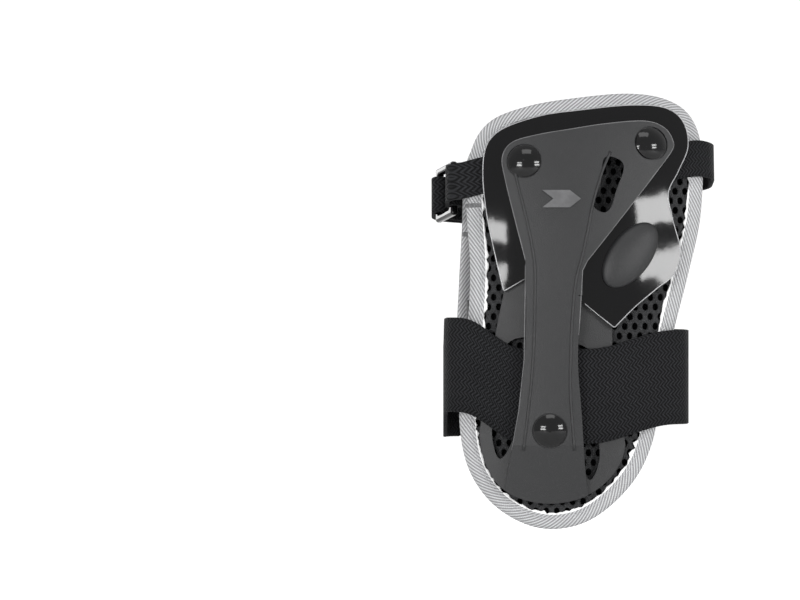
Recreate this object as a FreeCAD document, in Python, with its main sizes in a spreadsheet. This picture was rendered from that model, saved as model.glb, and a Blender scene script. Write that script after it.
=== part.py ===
"""Right-hand wrist guard: a palm panel with a skid plate and a Y-shaped splint, a padded back panel,
a narrow hand strap with a ring and a wide wrist strap. Millimetres, +Z to the fingers, +X to the
thumb, the palm faces -Y. The origin is in the middle of the wrist's passage."""
import FreeCAD, Part
import math
import os
import Sketcher

V = FreeCAD.Vector
doc = FreeCAD.newDocument("wrist_guard")

SIZES = [
    ("guard_length", 175.7, "palm panel, bottom to top"),
    ("hand_width", 99.7, "palm panel, at its widest"),
    ("hand_gap", 36, "between the two panels' inner faces, in the middle"),
    ("wrap_radius", 105, "across the hand, both inner faces"),
    ("wrap_middle", 5, "where the wrap's middle lies across the hand"),
    ("bend_radius", 240, "along the hand, of the middle surface"),
    ("bend_start", 35, "height where the bend towards the back of the hand starts"),
    ("lining_thickness", 0.8, "inner fabric"),
    ("foam_thickness", 3, "foam behind the lining"),
    ("mesh_thickness", 2.8, "spacer mesh"),
    ("binding_width", 6.5, "binding tape, as seen on a face"),
    ("binding_leaf", 0.8, "binding tape's thickness on each face"),
    ("layer_gap", 0.2, "between layers that lie on each other"),
    ("base_thickness", 2.5, "splint's foot and wings"),
    ("plate_thickness", 2.2, "skid plate"),
    ("splint_thickness", 2.8, "splint's head and spine"),
    ("cover_height", 3.8, "padded back cover, over the mesh"),
    ("cover_skin", 1, "back cover's own thickness"),
    ("stay_thickness", 1.8, "back stay"),
    ("strap_gap", 0.3, "under the straps on the back"),
    ("webbing_thickness", 1.5, "both straps"),
    ("loop_thickness", 1, "loop pile"),
    ("closure_gap", 0.3, "between hook and loop"),
    ("hook_thickness", 0.9, "hook pile"),
    ("label_thickness", 1.3, "label patch"),
    ("mark_thickness", 0.3, "stitching and mark on the label"),
    ("wrist_webbing_width", 38, "wide strap"),
    ("hand_webbing_width", 15, "narrow strap"),
    ("rivet_cap_diameter", 13, "rivet cap"),
    ("rivet_cap_height", 3, "rivet cap"),
    ("rivet_post_diameter", 5, "rivet post"),
    ("rivet_clearance", 0.2, "round a post, on the radius"),
    ("rivet_recess", 0.8, "depth of the seat round a cap"),
    ("washer_diameter", 12, "rivet washer"),
    ("washer_thickness", 1, "rivet washer"),
    ("bump_length", 31, "thenar bump"),
    ("bump_width", 17, "thenar bump"),
    ("bump_height", 4, "thenar bump, over the plate"),
    ("bump_tilt", 51, "thenar bump's long axis from +X, degrees"),
    ("emblem_height", 0.5, "raised mark on the splint"),
    ("hand_strap_height", 80, "middle of the hand strap"),
    ("ring_bar", 3, "ring's bars, square before rounding"),
    ("ring_length", 18, "ring, across the strap's bars"),
    ("ring_play", 0.7, "webbing's play in the ring, each end"),
    ("ring_turn_gap", 0.3, "between a bar and the webbing round it"),
    ("keeper_width", 7.5, "keeper tape"),
    ("keeper_thickness", 0.8, "keeper tape"),
    ("bar_tack_thickness", 0.7, "bar-tacks over the binding"),
    ("gusset_thickness", 1.2, "side gussets"),
]
sheet = doc.addObject("Spreadsheet::Sheet", "Sizes")
for row, (alias, number, note) in enumerate(SIZES, 1):
    sheet.set(f"A{row}", note)
    sheet.set(f"B{row}", str(number))
    sheet.setAlias(f"B{row}", alias)
doc.recompute()


def size(alias):
    return float(sheet.get(alias))


# The outlines below are drawn at these two sizes and stretched to the sheet's own.
DRAWN_LENGTH, DRAWN_WIDTH = 175.7, 99.7
ALONG = size("guard_length") / DRAWN_LENGTH
ACROSS = size("hand_width") / DRAWN_WIDTH
SHELL_LOW, SHELL_HIGH, SHELL_ANGLE = -75 * ALONG, 130 * ALONG, 80
LOOP_STEPS = 72
REACH = 70
GAP = size("layer_gap")


class Depth:
    """A distance out from a panel's inner face, as a sum of the sheet's cells."""

    def __init__(self, *aliases):
        self.aliases = aliases

    def plus(self, *aliases):
        return Depth(*self.aliases, *aliases)

    def text(self):
        terms = ["- Sizes." + a[1:] if a[0] == "-" else "+ Sizes." + a for a in self.aliases]
        return "0 " + " ".join(terms)

    def number(self):
        return sum(-size(a[1:]) if a[0] == "-" else size(a) for a in self.aliases)


FACE = Depth()
LINING_TOP = Depth("lining_thickness")
FOAM_IN = LINING_TOP.plus("layer_gap")
FOAM_TOP = FOAM_IN.plus("foam_thickness")
MESH_IN = FOAM_TOP.plus("layer_gap")
MESH_TOP = MESH_IN.plus("mesh_thickness")
BINDING_IN = Depth("-binding_leaf")
BINDING_TOP = MESH_TOP.plus("binding_leaf")
# Palm side.
BASE_IN = MESH_TOP.plus("layer_gap")
BASE_TOP = BASE_IN.plus("base_thickness")
PLATE_IN = BASE_TOP.plus("layer_gap")
PLATE_TOP = PLATE_IN.plus("plate_thickness")
SPLINT_IN = PLATE_TOP.plus("layer_gap")
SPLINT_TOP = SPLINT_IN.plus("splint_thickness")
EMBLEM_TOP = SPLINT_TOP.plus("emblem_height")
SEAT = SPLINT_TOP.plus("-rivet_recess")
WASHER_TOP = FOAM_TOP
WASHER_IN = FOAM_TOP.plus("-washer_thickness")
HAND_ANCHOR = BINDING_TOP.plus("strap_gap")
# Back-of-hand side.
COVER_IN = MESH_TOP.plus("layer_gap")
STAY_TOP = COVER_IN.plus("stay_thickness")
COVER_TOP = COVER_IN.plus("cover_height")
CAVITY_TOP = COVER_TOP.plus("-cover_skin")
CUSHION_TOP = CAVITY_TOP.plus("-layer_gap")
UNDER_STRAP = COVER_TOP.plus("strap_gap")
LOOP_IN = UNDER_STRAP.plus("webbing_thickness", "layer_gap")
LOOP_TOP = LOOP_IN.plus("loop_thickness")
HOOK_IN = LOOP_TOP.plus("closure_gap")
HOOK_TOP = HOOK_IN.plus("hook_thickness")
FLAP_IN = HOOK_TOP.plus("layer_gap")
FLAP_TOP = FLAP_IN.plus("webbing_thickness")
LABEL_IN = FLAP_TOP.plus("layer_gap")
LABEL_TOP = LABEL_IN.plus("label_thickness")
MARK_IN = LABEL_TOP.plus("layer_gap")
MARK_TOP = MARK_IN.plus("mark_thickness")
KEEPER_TOP = LOOP_IN.plus("keeper_thickness")

HALF_GAP = size("hand_gap") / 2
WRAP_AXIS = size("wrap_radius") - HALF_GAP


def bend_centre(side):
    """The distance of the bend's centre from the wrap's axis, in a side profile."""
    if side == "palm":
        return size("wrap_radius") - size("bend_radius") - HALF_GAP
    return size("wrap_radius") + size("bend_radius") - HALF_GAP


def bend_radius(side, depth):
    """The radius of a layer's bend along the hand: larger outside, smaller inside."""
    if side == "palm":
        return size("bend_radius") + HALF_GAP + depth
    return size("bend_radius") - HALF_GAP - depth


def surface(side, x, z, depth):
    """The point over (x, z) at a depth of one side, and the normal there, pointing outwards."""
    radius = bend_radius(side, depth)
    lean = math.asin(max(0, z - size("bend_start")) / radius)
    sign = 1 if side == "palm" else -1
    reach = bend_centre(side) + sign * radius * math.cos(lean)
    turn = math.asin((x - size("wrap_middle")) / reach)
    point = V(x, sign * (WRAP_AXIS - reach * math.cos(turn)), z)
    normal = V(math.cos(lean) * math.sin(turn), -sign * math.cos(lean) * math.cos(turn),
               sign * math.sin(lean))
    return point, normal


def named(kind, name):
    made = doc.addObject(kind, name)
    made.Label = name
    return made


# --- curved layers, outlines and prisms --------------------------------------------------------


def profile(side, name, inner, outer):
    """The side profile of a layer between two depths: a straight forearm, then the hand's bend."""
    sketch = named("Sketcher::SketchObject", name)
    sign = 1 if side == "palm" else -1
    turn = FreeCAD.Rotation(V(0, -sign, 0), V(0, 0, 1), V(-sign, 0, 0), "XYZ")
    sketch.Placement = FreeCAD.Placement(V(size("wrap_middle"), sign * WRAP_AXIS, 0), turn)
    sketch.setExpression("Placement.Base.x", "Sizes.wrap_middle")
    axis = "(Sizes.wrap_radius - Sizes.hand_gap / 2)"
    sketch.setExpression("Placement.Base.y", axis if side == "palm" else "-" + axis)
    centre, start = bend_centre(side), size("bend_start")
    edges = []
    for depth in (inner, outer):
        radius = bend_radius(side, depth.number())
        top = math.asin((SHELL_HIGH - start) / radius)
        foot = size("wrap_radius") + depth.number()
        low, bend = V(foot, SHELL_LOW, 0), V(foot, start, 0)
        span = (0, top) if side == "palm" else (math.pi - top, math.pi)
        circle = Part.Circle(V(centre, start, 0), V(0, 0, 1), radius)
        line = sketch.addGeometry(Part.LineSegment(low, bend))
        arc = sketch.addGeometry(Part.ArcOfCircle(circle, *span))
        begins, ends = (1, 2) if side == "palm" else (2, 1)
        half = "Sizes.bend_radius + Sizes.hand_gap / 2 + " + depth.text()
        if side == "back":
            half = "Sizes.bend_radius - Sizes.hand_gap / 2 - (" + depth.text() + ")"
        rules = [
            (("Vertical", line), None),
            (("Coincident", line, 2, arc, begins), None),
            (("DistanceY", -1, 1, line, 1, SHELL_LOW), None),
            (("DistanceY", -1, 1, line, 2, start), "Sizes.bend_start"),
            (("DistanceY", -1, 1, arc, 3, start), "Sizes.bend_start"),
            (("DistanceX", -1, 1, arc, 3, centre), centre_text(side)),
            (("Radius", arc, radius), half),
            (("DistanceY", -1, 1, arc, ends, SHELL_HIGH), None),
        ]
        for rule, text in rules:
            place = sketch.addConstraint(Sketcher.Constraint(*rule))
            if text:
                sketch.setExpression(f"Constraints[{place}]", text)
        edges.append((line, arc, ends, low))
    for at in ("top", "bottom"):
        first, second = edges
        picks = [(e[1], e[2]) if at == "top" else (e[0], 1) for e in (first, second)]
        points = [sketch.getPoint(*pick) for pick in picks]
        close = sketch.addGeometry(Part.LineSegment(*points))
        for end, pick in enumerate(picks, 1):
            sketch.addConstraint(Sketcher.Constraint("Coincident", close, end, *pick))
    return sketch


def centre_text(side):
    sign = "-" if side == "palm" else "+"
    return f"Sizes.wrap_radius {sign} Sizes.bend_radius - Sizes.hand_gap / 2"


shells = {}


def shell(side, inner, outer):
    """A layer of one side, wrapped across the hand and bent along it."""
    key = (side, inner.aliases, outer.aliases)
    if key not in shells:
        number = len(shells) + 1
        made = named("Part::Revolution", f"shell_{number}")
        made.Source = profile(side, f"shell_profile_{number}", inner, outer)
        made.Axis = V(0, 0, 1)
        made.Base = made.Source.Placement.Base
        made.setExpression("Base.x", "Sizes.wrap_middle")
        axis = "(Sizes.wrap_radius - Sizes.hand_gap / 2)"
        made.setExpression("Base.y", axis if side == "palm" else "-" + axis)
        made.Angle = SHELL_ANGLE
        made.Symmetric = True
        made.Solid = True
        shells[key] = made
    return shells[key]


def flat(name, *pieces):
    """A closed outline across and along the hand: lines through points, and curves through points."""
    edges = []
    for kind, points in pieces:
        places = [V(x * ACROSS, 0, z * ALONG) for x, z in points]
        if kind == "lines":
            edges += [Part.makeLine(a, b) for a, b in zip(places, places[1:])]
        else:
            curve = Part.BSplineCurve()
            curve.interpolate(Points=places, PeriodicFlag=kind == "loop")
            edges.append(curve.toShape())
    made = named("Part::Feature", name)
    made.Shape = Part.Face(Part.Wire(Part.__sortEdges__(edges)))
    return made


def drawn_in(name, loop, distance):
    """A clockwise smooth loop drawn in by a distance, through points stepped along its curve."""
    curve = loop.Shape.Edges[0].Curve
    first, last = curve.FirstParameter, curve.LastParameter
    places = []
    for step in range(LOOP_STEPS):
        at = first + (last - first) * step / LOOP_STEPS
        along = curve.tangent(at)[0]
        places.append(curve.value(at) + V(along.z, 0, -along.x) * distance)
    inner = Part.BSplineCurve()
    inner.interpolate(Points=places, PeriodicFlag=True)
    made = named("Part::Feature", name)
    made.Shape = Part.Face(Part.Wire([inner.toShape()]))
    return made


def inset(name, outline, distance):
    """An outline drawn in by a distance."""
    made = named("Part::Feature", name)
    made.Shape = outline.Shape.makeOffset2D(-distance)
    return made


prisms = {}


def prism(outline, side):
    """An outline carried through all layers of one side."""
    key = outline.Name + "_" + side
    if key not in prisms:
        made = named("Part::Extrusion", key)
        made.Base = outline
        made.DirMode = "Custom"
        made.Dir = V(0, -1 if side == "palm" else 1, 0)
        made.LengthFwd = REACH
        made.LengthRev = REACH / 2
        made.Solid = True
        prisms[key] = made
    return prisms[key]


def common(name, *shapes):
    made = named("Part::MultiCommon", name)
    made.Shapes = list(shapes)
    return made


def fuse(name, *shapes):
    made = named("Part::MultiFuse", name)
    made.Shapes = list(shapes)
    made.Refine = True
    return made


def cut(name, base, *tools):
    made = named("Part::Cut", name)
    made.Base = base
    made.Tool = tools[0] if len(tools) == 1 else fuse(name + "_tools", *tools)
    return made


def layer(name, side, inner, outer, outline):
    return common(name, shell(side, inner, outer), prism(outline, side))


def rectangle(name, left, right, low, high):
    return flat(name, ("lines", [(left, low), (right, low), (right, high), (left, high), (left, low)]))


# --- panels ----------------------------------------------------------------------------------

palm_edge = flat("palm_edge", ("loop", [
    (-34, 73), (-32.5, 93), (-24.8, 106), (-9.2, 112.5), (11.2, 116), (32.4, 117.9), (48, 115.7),
    (58.2, 108.5), (62.5, 94), (61.4, 68), (56.2, 45.3), (50, 22), (44.8, 0), (41.2, -22.8),
    (32, -40.7), (15, -54.8), (-4, -57.8), (-21.5, -49.9), (-32.8, -35), (-36.8, -15), (-35.4, 8),
    (-33, 31), (-32.6, 50)]))
back_edge = flat("back_edge", ("loop", [
    (-35.4, 62), (-34.4, 85), (-30.2, 97.6), (-20, 105.8), (-2.2, 111), (16.4, 112.8), (33, 111),
    (44.5, 106.5), (51, 98.5), (52.3, 86), (49.8, 64), (46.9, 39), (44.4, 8), (39.8, -24),
    (31.2, -38), (19, -46), (4, -48.9), (-13, -44), (-26, -32), (-34, -7), (-37.2, 18),
    (-36.6, 40)]))
palm_field = drawn_in("palm_field", palm_edge, size("binding_width"))
back_field = drawn_in("back_field", back_edge, size("binding_width"))


def panel(side, outline, edge):
    """One side's lining, foam and spacer mesh, and the binding tape round their edge."""
    lining = layer(f"{side}_lining", side, FACE, LINING_TOP, outline)
    foam = layer(f"{side}_foam", side, FOAM_IN, FOAM_TOP, outline)
    mesh = layer(f"{side}_mesh_panel", side, MESH_IN, MESH_TOP, outline)
    room = drawn_in(f"{side}_field_room", edge, size("binding_width") - GAP)
    band = cut(f"{side}_edge_band", prism(edge, side), prism(room, side))
    binding = common(f"{side}_edge_binding", shell(side, BINDING_IN, BINDING_TOP), band)
    return lining, foam, mesh, binding


palm_lining, palm_foam_whole, palm_mesh_whole, palm_binding = panel("palm", palm_field, palm_edge)
back_lining, back_foam, back_mesh, back_binding = panel("back", back_field, back_edge)
palm_foam_whole.Label, palm_mesh_whole.Label = "palm_foam_whole", "palm_mesh_whole"
parts = {
    "palm_lining": palm_lining, "palm_edge_binding": palm_binding, "back_lining": back_lining,
    "back_foam": back_foam, "back_mesh_panel": back_mesh, "back_edge_binding": back_binding,
}

# --- rivets ----------------------------------------------------------------------------------

RIVETS = {"little_finger": (-11, 89.5), "index_finger": (40, 96.8), "heel": (-1, -18.2)}


def upright(x, z, depth):
    """A placement on the palm side whose own +Z points out of the surface, +Y up the hand."""
    point, normal = surface("palm", x, z, depth)
    return FreeCAD.Placement(point, FreeCAD.Rotation(V(1, 0, 0), V(0, 0, 1), normal, "ZYX"))


def turned(name, points, arcs, x, z, depth):
    """A body turned about its own +Z from a half profile, and set on the palm side."""
    body = named("PartDesign::Body", name)
    sketch = body.newObject("Sketcher::SketchObject", name + "_profile")
    plane = [p for p in body.Origin.OriginFeatures if p.Role == "XZ_Plane"][0]
    sketch.AttachmentSupport = (plane, "")
    sketch.MapMode = "FlatFace"
    corners = [V(a, b, 0) for a, b in points]
    for number, (a, b) in enumerate(zip(corners, corners[1:] + corners[:1])):
        if number in arcs:
            sketch.addGeometry(Part.Arc(a, V(*arcs[number], 0), b))
        else:
            sketch.addGeometry(Part.LineSegment(a, b))
    for number in range(len(corners)):
        sketch.addConstraint(
            Sketcher.Constraint("Coincident", number, 2, (number + 1) % len(corners), 1))
    spin = body.newObject("PartDesign::Revolution", name + "_turn")
    spin.Profile = sketch
    spin.ReferenceAxis = (sketch, ["V_Axis"])
    spin.Angle = 360
    body.Placement = on_rivet(x, z, depth)
    return body


def on_rivet(x, z, depth):
    """A placement on a rivet's own axis, at a depth."""
    return upright(x, z, SEAT.number()) * FreeCAD.Placement(
        V(0, 0, depth - SEAT.number()), FreeCAD.Rotation())


def drum_on_rivet(name, x, z, depth, tall, diameter, clearances):
    """A cylinder on a rivet's axis, for a post's hole, a cap's seat or a washer's pocket."""
    made = named("Part::Cylinder", name)
    made.setExpression("Radius", f"Sizes.{diameter} / 2 + Sizes.rivet_clearance * {clearances}")
    made.Height = tall
    made.Placement = on_rivet(x, z, depth)
    return made


post_holes, cap_seats, washer_pockets = [], [], []
for at, (x, z) in RIVETS.items():
    x, z = x * ACROSS, z * ALONG
    cap, post = size("rivet_cap_diameter") / 2, size("rivet_post_diameter") / 2
    foot = WASHER_IN.number() - SEAT.number()
    rim, dome = size("rivet_recess"), size("rivet_cap_height")
    ball = (cap ** 2 + (dome - rim) ** 2) / (2 * (dome - rim))
    half_turn = math.asin(cap / ball) / 2
    slope = (ball * math.sin(half_turn), dome - ball * (1 - math.cos(half_turn)))
    parts[f"{at}_rivet"] = turned(
        f"{at}_rivet", [(0, foot), (post, foot), (post, 0), (cap, 0), (cap, rim), (0, dome)],
        {4: slope}, x, z, SEAT.number())
    bore = post + size("rivet_clearance") / 2
    disc, thick = size("washer_diameter") / 2, size("washer_thickness")
    washer_depth = WASHER_IN.number()
    parts[f"{at}_washer"] = turned(
        f"{at}_washer", [(bore, 0), (disc, 0), (disc, thick), (bore, thick)], {}, x, z,
        washer_depth)
    through = SPLINT_TOP.number() + dome - washer_depth
    post_holes.append(drum_on_rivet(
        f"{at}_post_hole", x, z, washer_depth - thick, through, "rivet_post_diameter", 1))
    cap_seats.append(drum_on_rivet(
        f"{at}_seat", x, z, SEAT.number(), dome, "rivet_cap_diameter", 3))
    washer_pockets.append(drum_on_rivet(
        f"{at}_pocket", x, z, washer_depth - 0.9, thick + 2, "washer_diameter", 2))

parts["palm_foam"] = cut("palm_foam", palm_foam_whole, *washer_pockets)
parts["palm_mesh_panel"] = cut("palm_mesh_panel", palm_mesh_whole, *washer_pockets, *post_holes)

# --- skid plate and splint -------------------------------------------------------------------

plate_outline = flat(
    "plate_outline",
    ("curve", [(-19.3, 37.4), (-22.6, 51.6), (-25.9, 67.7), (-27.5, 84), (-26, 96), (-19.5, 102.9),
               (-4, 108.2), (11.2, 110.4), (31.7, 112.6), (46.5, 111.8), (54, 106), (55.7, 96),
               (51.5, 86), (47.2, 77), (49, 66), (51.9, 54), (49.2, 44.4), (42.3, 38.7),
               (33, 31), (24.8, 22.8)]),
    ("lines", [(24.8, 22.8), (12.7, 32.8), (-10.7, 42.7), (-19.3, 37.4)]))
head_outline = flat(
    "head_outline",
    ("curve", [(-10.7, 49.8), (-14.8, 66), (-18.6, 82), (-19.8, 91.3), (-15.8, 97.2), (-6, 100.2),
               (8, 102.6), (22, 104.8), (38, 106), (46.2, 103), (49.5, 97), (48, 93)]),
    ("lines", [(48, 93), (13.9, 49.6), (12, 46), (12, 36), (-10.7, 36), (-10.7, 49.8)]))
spine_outline = flat(
    "spine_outline",
    ("curve", [(12, 46), (10.8, 26), (10.3, 5.4), (11.3, -6.8), (13.2, -34), (15.5, -50)]),
    ("lines", [(15.5, -50), (-20.5, -50)]),
    ("curve", [(-20.5, -50), (-17.2, -31.5), (-13.4, -10.6), (-11.2, 10), (-10.7, 46)]),
    ("lines", [(-10.7, 46), (12, 46)]))
base_outline = flat(
    "base_outline",
    ("lines", [(-10.7, 45), (-18.6, 40), (-22, 23.2), (-28.9, -19)]),
    ("curve", [(-28.9, -19), (-26.4, -32), (-20.5, -41), (-13.4, -45.2), (1.5, -47.4),
               (16.8, -42.7), (26.5, -33), (29.5, -24)]),
    ("lines", [(29.5, -24), (24.2, 14.4), (24.2, 25.2), (12.7, 34.8), (-10.7, 45)]))
vent_outline = flat("vent_outline", ("loop", [
    (24, 91.5), (28.6, 88.6), (26, 78.5), (20.5, 69), (17.2, 70.6), (19.6, 81.5)]))
left_slot = flat("left_slot", ("loop", [
    (-12.2, 19), (-17.2, 17), (-20.4, 0), (-23.4, -24), (-20.6, -29.6), (-17.4, -26), (-13.4, -4)]))
right_slot = flat("right_slot", ("loop", [
    (11.6, 16), (16.2, 13), (17.2, -14), (18, -34), (15.2, -38), (12.8, -34), (11.2, -8)]))

emblem_outline = flat(
    "emblem_outline",
    ("lines", [(-4, 71), (7, 71), (11.5, 74.5), (7, 78), (-4, 78), (0.5, 74.5), (-4, 71)]))

plate_whole = layer("plate_whole", "palm", PLATE_IN, PLATE_TOP, plate_outline)
parts["skid_plate"] = cut(
    "skid_plate", plate_whole, prism(vent_outline, "palm"), *post_holes[:2])

plate_clear = inset("plate_clear", plate_outline, -size("layer_gap"))
spine_post = cut(
    "spine_post", layer("spine_post_whole", "palm", BASE_TOP, SPLINT_TOP, spine_outline),
    layer("plate_room", "palm", BASE_TOP, SPLINT_IN, plate_clear))
head = layer("head", "palm", SPLINT_IN, SPLINT_TOP, head_outline)
base = cut("base", layer("base_whole", "palm", BASE_IN, BASE_TOP, base_outline),
           prism(left_slot, "palm"), prism(right_slot, "palm"))
tunnel = layer("tunnel", "palm", BASE_TOP, SPLINT_IN, rectangle("tunnel_room", -45, 45, -31, 19.5))


def foot_slope():
    """What is cut away where the spine runs down into the foot: outside a cone, below its top."""
    top, toe = SPLINT_TOP.number(), BASE_TOP.number()
    radius = size("wrap_radius")
    made = named("Part::Feature", "foot_slope")
    low, high = -52 * ALONG, -24 * ALONG
    far = radius + top + 5
    corners = [V(radius + toe, 0, low), V(radius + top, 0, high), V(far, 0, high), V(far, 0, low)]
    corners.append(corners[0])
    ring = Part.Face(Part.makePolygon(corners)).revolve(V(0, 0, 0), V(0, 0, 1), 360)
    made.Shape = ring
    made.Placement = FreeCAD.Placement(V(size("wrap_middle"), WRAP_AXIS, 0), FreeCAD.Rotation())
    return made


splint_whole = fuse("splint_whole", base, cut("spine", spine_post, tunnel, foot_slope()), head)
foot_limit = prism(base_outline, "palm")
splint_below = common("splint_below", splint_whole, fuse("splint_field", foot_limit,
                                                         prism(head_outline, "palm")))
parts["palm_splint"] = cut(
    "palm_splint", splint_below, prism(vent_outline, "palm"), *post_holes, *cap_seats)
parts["splint_emblem"] = layer("splint_emblem", "palm", SPLINT_TOP, EMBLEM_TOP, emblem_outline)

BUMP_AT = (31.4 * ACROSS, 52 * ALONG)
bump_ball = named("Part::Ellipsoid", "bump_ball")
bump_ball.setExpression("Radius1", "Sizes.bump_height")
bump_ball.setExpression("Radius2", "Sizes.bump_length / 2")
bump_ball.setExpression("Radius3", "Sizes.bump_width / 2")
bump_ball.Angle1 = -90
bump_place = upright(*BUMP_AT, PLATE_TOP.number())
bump_ball.Placement = bump_place * FreeCAD.Placement(
    V(0, 0, 0), FreeCAD.Rotation(V(0, 0, 1), size("bump_tilt")))
bump_field = named("Part::Box", "bump_field")
for edge in ("Length", "Width"):
    bump_field.setExpression(edge, "Sizes.bump_length * 2")
bump_field.setExpression("Height", "Sizes.bump_height * 4")
bump_field.Placement = bump_place * FreeCAD.Placement(
    V(-size("bump_length"), -size("bump_length"), -2), FreeCAD.Rotation())
parts["thenar_bump"] = common("thenar_bump", bump_ball, bump_field,
                              shell("palm", PLATE_TOP, SPLINT_TOP.plus("bump_height")))

# --- padded back cover -----------------------------------------------------------------------

COVER_LEFT, COVER_RIGHT = -19, 25
SKIN = size("cover_skin")
cover_room = rectangle("cover_room", COVER_LEFT, COVER_RIGHT, -70, 120)
cavity_room = inset("cavity_room", cover_room, SKIN)
cushion_room = inset("cushion_room", cover_room, SKIN + GAP)
COVER_INSET = size("binding_width") + size("binding_leaf")
cover_limit = drawn_in("cover_limit", back_edge, COVER_INSET)
cavity_limit = drawn_in("cavity_limit", back_edge, COVER_INSET + SKIN)
cushion_limit = drawn_in("cushion_limit", back_edge, COVER_INSET + SKIN + GAP)
cavity = common("cavity", shell("back", MESH_TOP, CAVITY_TOP), prism(cavity_room, "back"),
                prism(cavity_limit, "back"))
cover_whole = common("cover_whole", shell("back", COVER_IN, COVER_TOP), prism(cover_room, "back"),
                     prism(cover_limit, "back"))
cushion_whole = common("cushion_whole", shell("back", COVER_IN, CUSHION_TOP),
                       prism(cushion_room, "back"), prism(cushion_limit, "back"))
parts["back_cover"] = cut("back_cover", cover_whole, cavity)
stay_outline = flat("stay_outline", ("loop", [
    (-9, 0), (-9, 60), (-4, 84), (3, 88), (10, 84), (15, 60), (15, 0), (12, -28), (3, -33),
    (-6, -28)]))
stay_room = inset("stay_room", stay_outline, -GAP)
parts["back_stay"] = layer("back_stay", "back", COVER_IN, STAY_TOP, stay_outline)
parts["back_cushion"] = cut(
    "back_cushion", cushion_whole,
    layer("stay_pocket", "back", MESH_TOP, STAY_TOP.plus("layer_gap"), stay_room))
for trim, left, right in (("cover_seam_strip", COVER_LEFT - 3, COVER_LEFT - GAP),
                          ("cover_piping", COVER_RIGHT + GAP, COVER_RIGHT + 2.2)):
    strip = rectangle(trim + "_room", left, right, -70, 120)
    parts[trim] = common(trim, shell("back", COVER_IN, CAVITY_TOP), prism(strip, "back"),
                         prism(cover_limit, "back"))

# --- side gussets and bar-tacks --------------------------------------------------------------

INSIDE = Depth("-hand_gap")
GUSSET_END = BINDING_IN.plus("-layer_gap")
GUSSETS = {
    "little_finger_gusset": [(-33.6, 34), (-33.8, 20), (-34.8, 0), (-34, -16), (-30.5, -28)],
    "thumb_gusset": [(45.6, 37), (44.2, 20), (42.4, 0), (39.6, -18), (35, -30)],
}
for name, line in GUSSETS.items():
    side_step = size("gusset_thickness") * (1 if line[0][0] < 0 else -1)
    back_line = [(x + side_step, z) for x, z in reversed(line)]
    outline = flat(name + "_outline", ("curve", line), ("lines", [line[-1], back_line[0]]),
                   ("curve", back_line), ("lines", [back_line[-1], line[0]]))
    parts[name] = common(name, shell("palm", INSIDE, GUSSET_END), shell("back", INSIDE, GUSSET_END),
                         prism(outline, "back"))
TACK_IN = BINDING_TOP.plus("layer_gap")
TACK_TOP = TACK_IN.plus("bar_tack_thickness")
TACKS = {"little_finger_bar_tack": (-36, -29.8, 32, 37.5), "thumb_bar_tack": (38, 46.4, 30, 36.5)}
for name, room in TACKS.items():
    outline = rectangle(name + "_room", *room)
    parts[name] = layer(name, "back", TACK_IN, TACK_TOP, outline)

# --- straps ----------------------------------------------------------------------------------

THICK = size("webbing_thickness")
HAND_RISE = size("hand_strap_height") - size("bend_start")
HAND_LEAN = math.degrees(math.asin(HAND_RISE / size("bend_radius")))
HAND_SHIFT = size("bend_radius") - math.sqrt(size("bend_radius") ** 2 - HAND_RISE ** 2)
HAND_FRAME = FreeCAD.Placement(V(0, HAND_SHIFT, size("hand_strap_height")),
                               FreeCAD.Rotation(V(1, 0, 0), -HAND_LEAN))
RISE_TEXT = "(Sizes.hand_strap_height - Sizes.bend_start)"


def wrap_text(side, hand):
    """A side's wrap radius across a strap: plain at the wrist, smaller or larger up the hand."""
    if not hand:
        return "Sizes.wrap_radius"
    sign, other = ("+", "-") if side == "palm" else ("-", "+")
    bend = f"(Sizes.bend_radius {sign} Sizes.hand_gap / 2)"
    lean = f"({bend} - sqrt({bend}^2 - {RISE_TEXT}^2))"
    return f"(Sizes.wrap_radius {other} {lean}) / cos(asin({RISE_TEXT} / Sizes.bend_radius))"


def loop(name, palm, back, low, high, corner, hand):
    """The closed ring that a strap's inner face follows round the hand, as a solid plug."""
    plugs = []
    for side, depth in (("palm", palm), ("back", back)):
        sign = "" if side == "palm" else "-"
        radius = wrap_text(side, hand)
        drum = named("Part::Cylinder", f"{name}_{side}")
        drum.setExpression("Radius", f"{radius} + {depth.text()}")
        drum.setExpression("Placement.Base.x", "Sizes.wrap_middle")
        drum.setExpression("Placement.Base.y", f"{sign}({radius} - Sizes.hand_gap / 2)")
        drum.Placement.Base.z = -REACH
        drum.Height = 2 * REACH
        plugs.append(drum)
    box = named("Part::Box", name + "_box")
    box.Length, box.Width, box.Height = high - low, 2 * REACH, 2 * REACH
    box.Placement.Base = V(low, -REACH, -REACH)
    plug = common(name + "_plug", *plugs, box)
    doc.recompute()
    made = named("Part::Fillet", name)
    made.Base = plug
    upright_edges = [number for number, edge in enumerate(plug.Shape.Edges, 1)
                     if edge.BoundBox.ZLength > REACH and edge.BoundBox.XLength < 0.01]
    made.Edges = [(number, corner, corner) for number in upright_edges]
    return made


def track(name, palm, back, low, high, corner, hand):
    """A strap's whole possible track: a ring as thick as the webbing."""
    inner = loop(name + "_inner", palm, back, low, high, corner, hand)
    thick = "webbing_thickness"
    outer = loop(name + "_outer", palm.plus(thick), back.plus(thick), low - THICK, high + THICK,
                 corner + THICK, hand)
    return cut(name, outer, inner)


def zone(name, points, low, high, along="Y"):
    """A prism over an outline: (x, z) points carried along Y, or (y, z) points along X."""
    places = [V(x, low, z) if along == "Y" else V(low, x, z) for x, z in points]
    made = named("Part::Extrusion", name)
    outline = named("Part::Feature", name + "_outline")
    outline.Shape = Part.Face(Part.makePolygon(places + places[:1]))
    made.Base = outline
    made.DirMode = "Custom"
    made.Dir = V(0, 1, 0) if along == "Y" else V(1, 0, 0)
    made.LengthFwd = high - low
    made.Solid = True
    return made


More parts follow.
